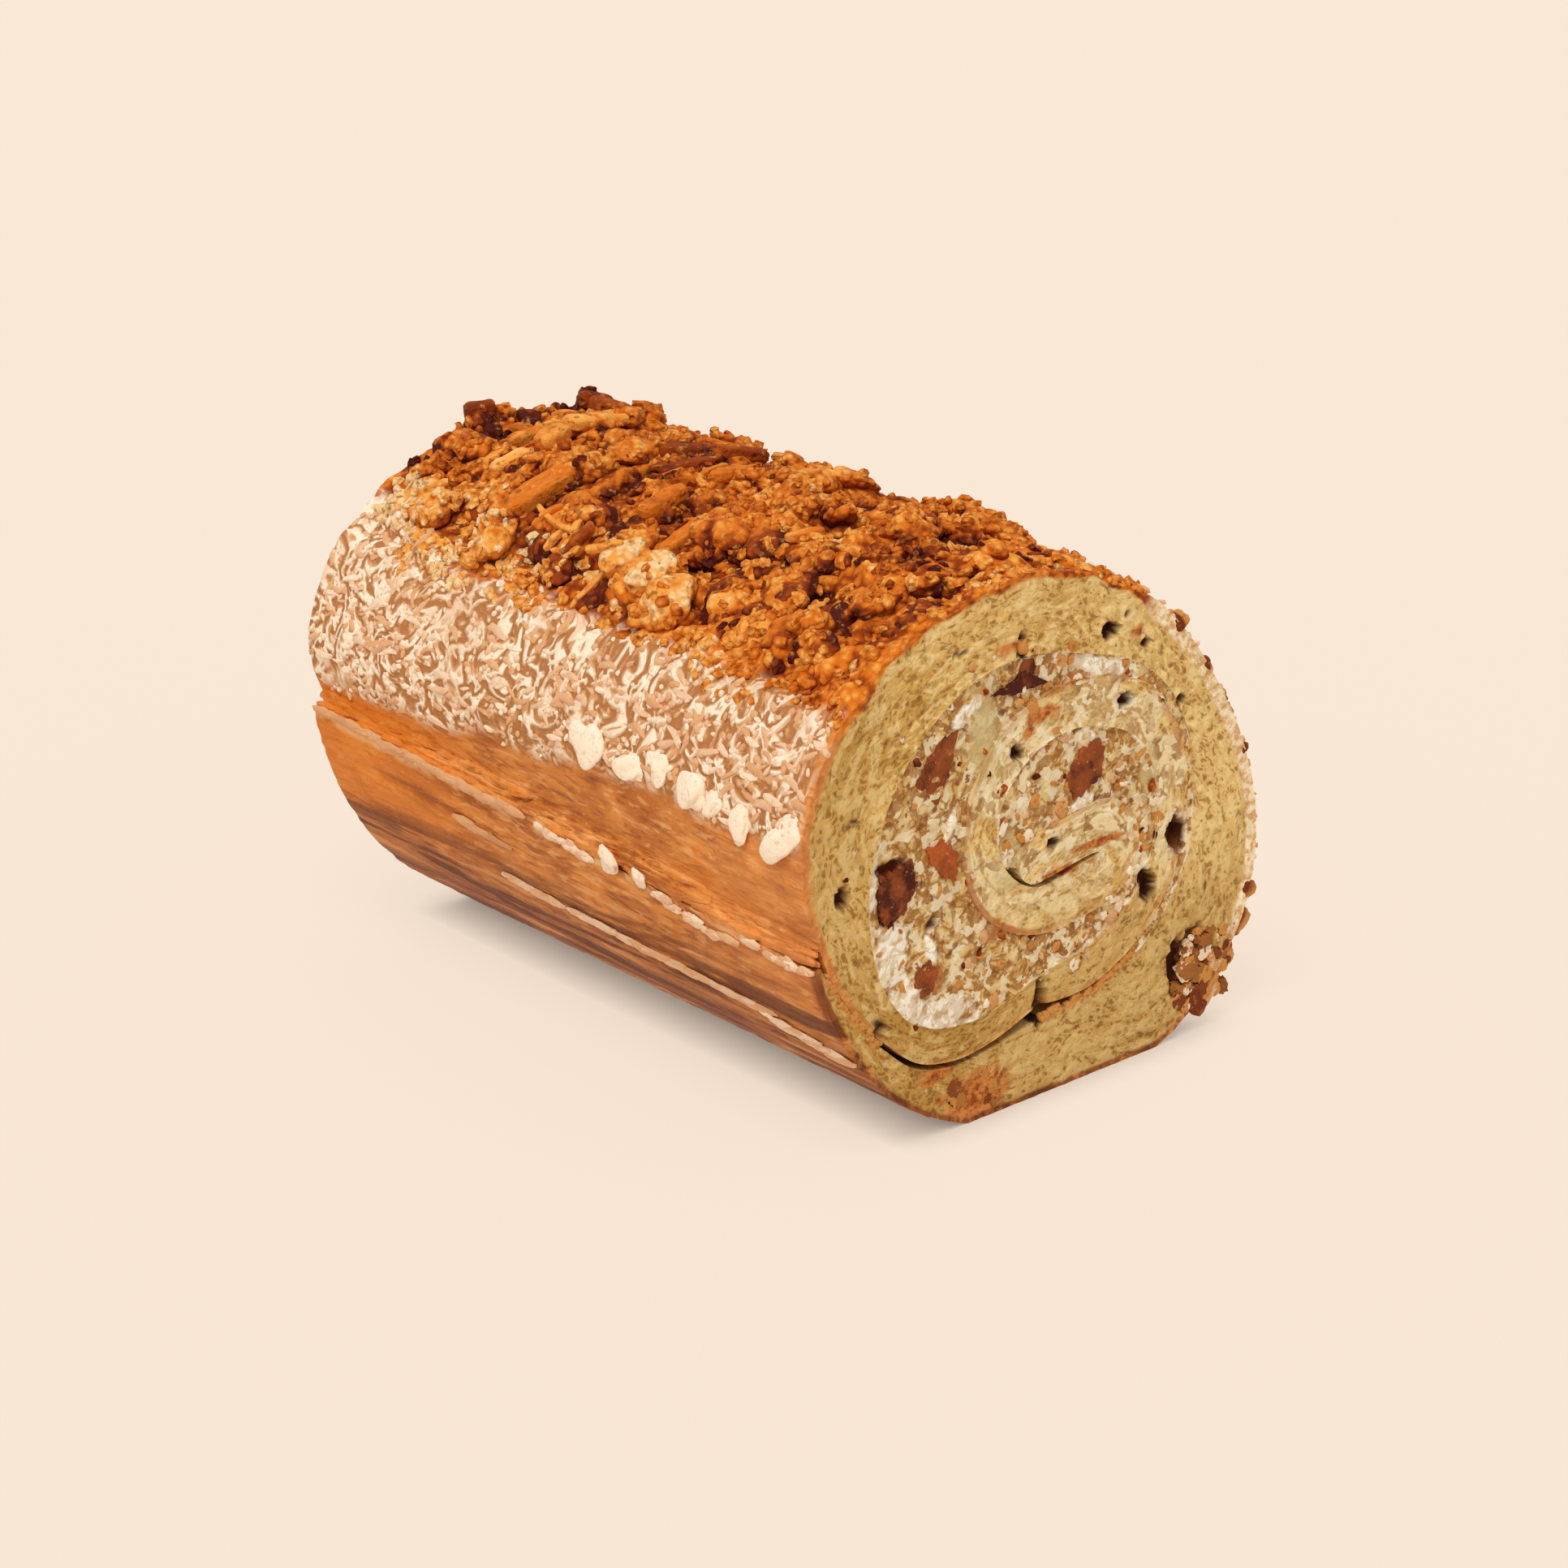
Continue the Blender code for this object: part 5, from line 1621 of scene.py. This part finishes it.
for first, last, count in CLOSED_GAPS:
    for step in range(count):
        angle = first + (last - first) * (step + draw.random()) / count
        x, z = in_section(angle, cream_side(angle, 0.0) - SEAM_GAP * draw.uniform(-0.2, 1.0))
        size = draw.uniform(1.0, 1.7)
        place = Vector((x * MM, NEAR_END + 0.44 * size * MM, z * MM))
        shape = odd_shape(draw, size, 0.8, 1.3)
        made = small_round(2, draw, place, NEAR_OUT, shape, draw.uniform(0, SPIN))
        rim_made.append((*made, draw.uniform(*GAP_TONES)))
join_copies("rim_crumbs", rim_made, cream_bits_paint)

# %% The tail is pressed down on the roll: skin closes the crack above its edge
# (degrees above the edge, mm below the skin, thickness in mm) of each chain of pieces
CRACK_FILL = ((0.9, 1.0, 1.9), (2.1, 1.6, 1.9), (3.4, 2.0, 1.7))
CHAIN_PIECES = 64
CHAIN_LONG = (5.0, 10.0)
draw = random.Random(83)
fill_copies = []
for back, deep, thick in CRACK_FILL:
    for step in range(CHAIN_PIECES):
        share = min(max((step + draw.random()) / CHAIN_PIECES, 0.03), 0.97)
        angle = TAIL_ANGLE - TAIL_TWIST * share - back + draw.uniform(-0.5, 0.5)
        place = in_roll(angle, outline(angle) - deep + draw.uniform(-0.35, 0.25), share)
        shape = [draw.uniform(*CHAIN_LONG) * MM, thick * MM, thick * draw.uniform(0.7, 1.2) * MM]
        made = small_round("worm", draw, place, on_skin(angle, share)[1], shape, 0.0, 0.04, rough=0.05)
        fill_copies.append((*made, 0.0))
seam_skin = join_copies("seam_skin", fill_copies, sponge_paint)

# %% [markdown]
# Fine crumbs fill the places between the large ones. Each is dropped onto what is already there,
# which a ray from outside finds, so that none floats. They lie densest in patches.


# %% Find the surface under a place
def surface_finder(*pieces):
    points, faces = [], []
    for piece in pieces:
        start = len(points)
        points += [v.co.copy() for v in piece.data.vertices]
        faces += [[start + i for i in f.vertices] for f in piece.data.polygons]
    tree = BVHTree.FromPolygons(points, faces)
    start_above, reach = 12 * MM, 30 * MM

    def find(angle, share):
        place, out = on_skin(angle, share)
        hit, normal, _, _ = tree.ray_cast(place + out * start_above, -out, reach)
        return (hit, normal, out) if hit else (place, out, out)

    return find


surface = surface_finder(sponge, crumb_lumps, seam_skin)


def dropped(draw, angle, share, detail, size, stretch, lean, sink, spin, rough=0.25, bend=0.0, boxy=1.0):
    """(points, faces) of a copy dropped on the roll. sink is its middle's height over its size."""
    hit, normal, out = surface(angle, share)
    up = (normal + out).normalized()
    shape = [size * MM * draw.uniform(*s) for s in stretch]
    place = hit + up * shape[2] * sink
    bent = draw.uniform(-bend, bend)
    return small_round(detail, draw, place, up, shape, spin, lean, boxy, rough, bent)


DRAWS_EACH = 12
END_ROOM = 0.003


def scattered(detail, seed, wanted, angles, density, sizes, stretch, lean, sink, tone,
              spin=(0, math.pi), rough=0.25, bend=0.0, boxy=1.0):
    """Copies strewn over the roll between two angles, as dense as density(angle, share) says."""
    draw = random.Random(seed)
    copies = []
    for _ in range(wanted * DRAWS_EACH):
        angle, share = draw.uniform(*angles), draw.uniform(END_ROOM, 1.0 - END_ROOM)
        if len(copies) >= wanted or draw.random() > density(angle, share):
            continue
        turn, size = draw.uniform(*spin), draw.uniform(*sizes)
        shape = (detail, size, stretch, lean, sink, turn, rough, bend, boxy)
        made = dropped(draw, angle, share, *shape)
        copies.append((*made, tone(draw, angle, share)))
    return copies


# %% The fine crumbs
def crust_density(angle, share):
    return crust_share(angle, share) * (0.30 + 0.70 * granular(angle, share))


def crust_tone(draw, angle, share):
    """How pale a fine crumb is: paler at the lower edge, darker towards the far end, and darker in
    hollows, partly a browner crust there and partly painted shade.
    """
    pale = 0.36 * ease((angle - 126) / 12) * ease(share * 2.5 - 0.8) + pale_rim(angle, share)
    drift = 0.35 * wave(angle * 0.12, share * 14.0, 5.0) + 0.07 - 0.14 * share
    return 0.58 + drift + draw.uniform(-0.08, 0.12) + pale - 0.6 * hollow(angle, share)[1]


GRAIN_SHAPE = ((0.9, 1.7), (0.6, 1.0), (0.5, 0.8))
join_copies(
    "crumb_grains",
    scattered(2, 21, 2400, (58, 152), crust_density, (1.0, 2.1), GRAIN_SHAPE, 0.7, -0.05, crust_tone,
              rough=0.20, boxy=0.62),
    topping_paint,
)

# %% [markdown]
# Slivers of nut lie across the far half like bars. The long ones are listed, and shorter ones are
# strewn at random.

# %% Slivers of nut: (angle, share, length, width, height in mm, slant in degrees, tone)
SLIVERS = [
    (126.0, 0.729, 16.0, 4.4, 3.0, 18, 0.56), (121.7, 0.828, 8.0, 2.4, 2.0, 20, 0.86),
    (121.3, 0.868, 7.4, 2.2, 1.8, 36, 0.72), (100.3, 0.832, 12.0, 4.4, 1.6, -35, 0.76),
    (84.0, 0.920, 8.0, 4.0, 2.4, 10, 0.30), (113.5, 0.812, 6.0, 3.6, 2.0, 10, 0.68),
    (108.0, 0.930, 9.0, 2.2, 1.6, 10, 0.48), (98.0, 0.705, 8.0, 2.8, 2.2, -20, 0.80),
    (112.0, 0.875, 8.0, 2.4, 2.0, 18, 0.62), (99.0, 0.890, 7.0, 2.0, 1.8, 20, 0.66),
    (113.0, 0.664, 9.0, 2.6, 2.2, 6, 0.56), (96.0, 0.655, 12.0, 2.8, 2.2, -4, 0.22),
    (84.0, 0.640, 10.0, 3.0, 2.0, -8, 0.16), (104.0, 0.610, 9.0, 2.4, 2.0, 4, 0.26),
    (91.0, 0.600, 9.0, 2.2, 1.8, 0, 0.30), (133.0, 0.638, 12.0, 1.0, 0.9, -80, 0.76),
    (133.3, 0.616, 9.5, 1.1, 0.9, 6, 0.76), (141.7, 0.520, 7.6, 1.1, 0.9, 16, 0.78),
    (136.0, 0.500, 6.0, 1.1, 0.9, 60, 0.76), (129.0, 0.300, 8.0, 1.2, 1.0, -50, 0.76),
    (116.0, 0.290, 6.0, 1.4, 1.2, 30, 0.64), (122.0, 0.215, 8.0, 1.8, 1.4, 60, 0.62),
    (125.5, 0.450, 9.0, 2.6, 1.8, 10, 0.60), (120.0, 0.530, 9.0, 3.0, 2.0, 8, 0.52),
    (86.0, 0.945, 6.0, 3.0, 2.4, 10, 0.14), (112.0, 0.985, 5.0, 3.0, 2.4, 0, 0.16),
    (76.0, 0.420, 6.0, 2.4, 1.8, 60, 0.22), (104.0, 0.520, 8.0, 2.2, 1.6, -12, 0.56),
]
RANDOM_SLIVERS = 28
SLIVER_BEND = 0.06
SLIVER_RELIEF_AND_SHADE = 0.4
RELIEF_PATCH = 2.2
draw = random.Random(61)
for _ in range(RANDOM_SLIVERS):
    spot = (draw.uniform(64, 136), draw.uniform(0.38, 0.97), draw.uniform(3.0, 6.5))
    SLIVERS.append((*spot, draw.uniform(0.9, 2.0), draw.uniform(0.7, 1.3),
                    draw.uniform(-40, 50), draw.uniform(0.25, 0.85)))
sliver_copies = []
for angle, share, long, wide, high, slant, pale in SLIVERS:
    tone = 0.95 * pale
    spin = math.pi / 2 - math.radians(slant)
    hit, _, out = surface(angle, share)
    shape = [long * MM, wide * MM, high * 1.25 * MM]
    place = hit + out * high * 0.3 * MM
    bend = draw.uniform(-SLIVER_BEND, SLIVER_BEND)
    points, faces = small_round(4, draw, place, out, shape, spin, 0.08, 0.5, 0.03, bend)
    # Each sliver is lifted in patches and its tone follows the lift: painted light on the raised patches,
    # painted shade in the dips.
    lumpy = np.array([SLIVER_RELIEF_AND_SHADE * noise.noise(Vector(point) / (RELIEF_PATCH * MM)) for point in points])
    points += lumpy[:, None] * np.array(out) * MM
    sliver_copies.append((points, faces, tone + 0.5 * lumpy))
join_copies("nut_slivers", sliver_copies, topping_paint, 0.15)

# %% Smooth lumps along the topping's lower edge: (angle, share, width in mm, tone)
SMOOTH_LUMPS = (
    (127.0, 0.645, 9.6, 0.62), (117.0, 0.655, 8.0, 0.60), (134.0, 0.312, 9.5, 0.46),
    (136.8, 0.243, 7.0, 0.56), (133.0, 0.450, 8.4, 0.66), (141.5, 0.515, 7.4, 0.62),
    (126.0, 0.560, 8.0, 0.52), (128.0, 0.230, 7.0, 0.50), (118.0, 0.350, 9.0, 0.44),
    (112.0, 0.540, 9.0, 0.44), (124.0, 0.046, 7.0, 0.60), (130.0, 0.140, 7.0, 0.55),
    (122.0, 0.400, 9.0, 0.46), (137.0, 0.180, 6.0, 0.60),
)
draw = random.Random(71)
smooth_copies = []
for angle, share, width, tone in SMOOTH_LUMPS:
    hit, _, out = surface(angle, share)
    seat = ("smooth", hit - out * 0.17 * width * MM, out, width, *draw_shape(draw, 0.5))
    smooth_copies.append(rough_crumb(4, seat, 0.22, tone - 0.08))
join_copies("smooth_lumps", smooth_copies, topping_paint, 0.5)

# %% [markdown]
# ## The icing
# The left shoulder has a bed of icing, whose winding white ribbons are in the sponge's material.
# Here it gets loose sugar grains and short ribbons that stand out of it, and along its lower edge the
# larger white lumps that the solid has. Below, two broken lines of icing run along the seam, and the
# right side has a thin sugary coat.

# %% The icing's material
icing_paint, paint, shader, where = new_material("white_icing", 0.6, 0.35)
sugar = grain(paint, where, 1100.0)
pale = paint.layers(
    colour(174, 106, 54),
    (paint.ramp(paint.fact("tone"), 0.0, 0.5), 1.0, (220, 162, 110)),
    (paint.ramp(paint.fact("tone"), 0.5, 1.0), 1.0, (252, 230, 202)),
    (paint.ramp(sugar["Mottle"], 0.46, 0.32), 0.5, (208, 158, 110)),
)
finish(paint, shader, pale, sugar["Height"], 0.4, 0.0004)


# %% Grains, ribbons and the coat
ICING_TONES = (0.50, 0.95)


def icing_tone(draw, angle, share):
    """How pale a bit of icing is: a little duller towards the near end."""
    return draw.uniform(*ICING_TONES) - 0.10 * ease(1.0 - share * 3)


def upper_icing(angle, share):
    return icing_share(angle, share) * ease((164 - angle) / 12 + 0.5)


def lower_icing(angle, share):
    return icing_share(angle, share) * ease((angle - 156) / 12 + 0.5)


SUGAR_SHAPE = ((0.8, 1.6), (0.6, 0.9), (0.45, 0.7))
RIBBON_SHAPE = ((0.85, 1.25), (0.26, 0.36), (0.20, 0.28))
COAT_SHAPE = ((0.8, 1.2), (0.5, 0.9), (0.35, 0.6))
join_copies(
    "icing_sugar",
    scattered(2, 34, 800, (134, 180), icing_share, (0.7, 1.5), SUGAR_SHAPE, 0.5, -0.10, icing_tone,
              rough=0.2),
    icing_paint,
)
join_copies(
    "icing_ribbons",
    scattered("worm", 31, 110, (134, 178), upper_icing, (2.0, 4.4), RIBBON_SHAPE, 0.05, -0.12, icing_tone,
              rough=0.12, bend=0.24)
    + scattered("worm", 32, 110, (150, 180), lower_icing, (2.0, 4.8), RIBBON_SHAPE, 0.05, -0.12, icing_tone,
                (-0.6, 0.6), 0.12, 0.20),
    icing_paint,
)
join_copies(
    "coat_flakes",
    scattered(1, 33, 2800, (-36, 68), coat_share, (0.9, 2.0), COAT_SHAPE, 0.6, 0.3, icing_tone),
    icing_paint,
)

# %% White lumps of icing, and smaller ones on the seam: (share, angle, width in mm)
SEAM_LUMPS = ((0.372, 185.4, 3.8), (0.316, 186.6, 2.6), (0.142, 207.4, 2.4))
SEAM_LUMP_RISE = 0.3
draw = random.Random(SEED + 1)
big_lumps = []
for share, angle, width in ICING_LUMPS:
    place, out = on_skin(angle, share)
    seat = place + out * icing_bed(angle, share) * MM
    seat = ("lump", seat, out, width, *draw_shape(draw, ICING_LUMP_HEIGHT))
    big_lumps.append((*rough_crumb(4, seat, 0.10, 1.0)[:2], 1.0))
for share, angle, width in SEAM_LUMPS:
    hit, _, out = surface(angle, share)
    seat = ("lump", hit + out * SEAM_LUMP_RISE * MM, out, width, *draw_shape(draw, ICING_LUMP_HEIGHT))
    big_lumps.append((*rough_crumb(3, seat, 0.16, 0.9)[:2], 0.9))
join_copies("icing_lumps", big_lumps, icing_paint)

# %% Broken lines of icing along the seam: (share and angle at each end, width in mm, tone)
SEAM_LINES = (
    (0.560, 184.0, 0.980, 181.0, 0.9, 0.58), (0.415, 187.4, 0.515, 184.8, 1.6, 0.86),
    (0.180, 191.6, 0.285, 188.2, 1.4, 0.86), (0.150, 190.8, 0.180, 191.0, 1.0, 0.78),
    (0.100, 189.6, 0.132, 189.4, 1.4, 0.84), (0.000, 190.2, 0.080, 190.4, 1.3, 0.82),
    (0.530, 203.6, 0.630, 202.2, 1.1, 0.80), (0.425, 204.0, 0.505, 203.4, 1.1, 0.80),
    (0.150, 206.4, 0.405, 204.2, 0.9, 0.76), (0.020, 212.0, 0.128, 208.0, 1.2, 0.82),
    (0.620, 193.0, 0.700, 191.5, 0.6, 0.5),
)
STEP_ALONG = 0.8
draw = random.Random(81)
seam_copies = []
for share0, angle0, share1, angle1, width, tone in SEAM_LINES:
    for _ in range(max(3, int((share1 - share0) * LENGTH / MM / STEP_ALONG * max(1.0, width)))):
        along = draw.random()
        share = share0 + (share1 - share0) * along
        angle = angle0 + (angle1 - angle0) * along + draw.gauss(0, width / 7.0) / MM_PER_DEGREE
        long = draw.uniform(3.6, 7.5) if width < 1.3 else draw.uniform(1.8, 3.4)
        stretch = ((1.0, 1.0), (1.2 / long, 1.8 / long), (0.7 / long, 1.0 / long))
        spin = draw.uniform(-0.08, 0.08)
        made = dropped(draw, angle, share, "worm", long, stretch, 0.03, 0.2, spin, 0.12)
        seam_copies.append((*made, tone - draw.uniform(0.0, 0.25)))
join_copies("seam_icing", seam_copies, icing_paint)
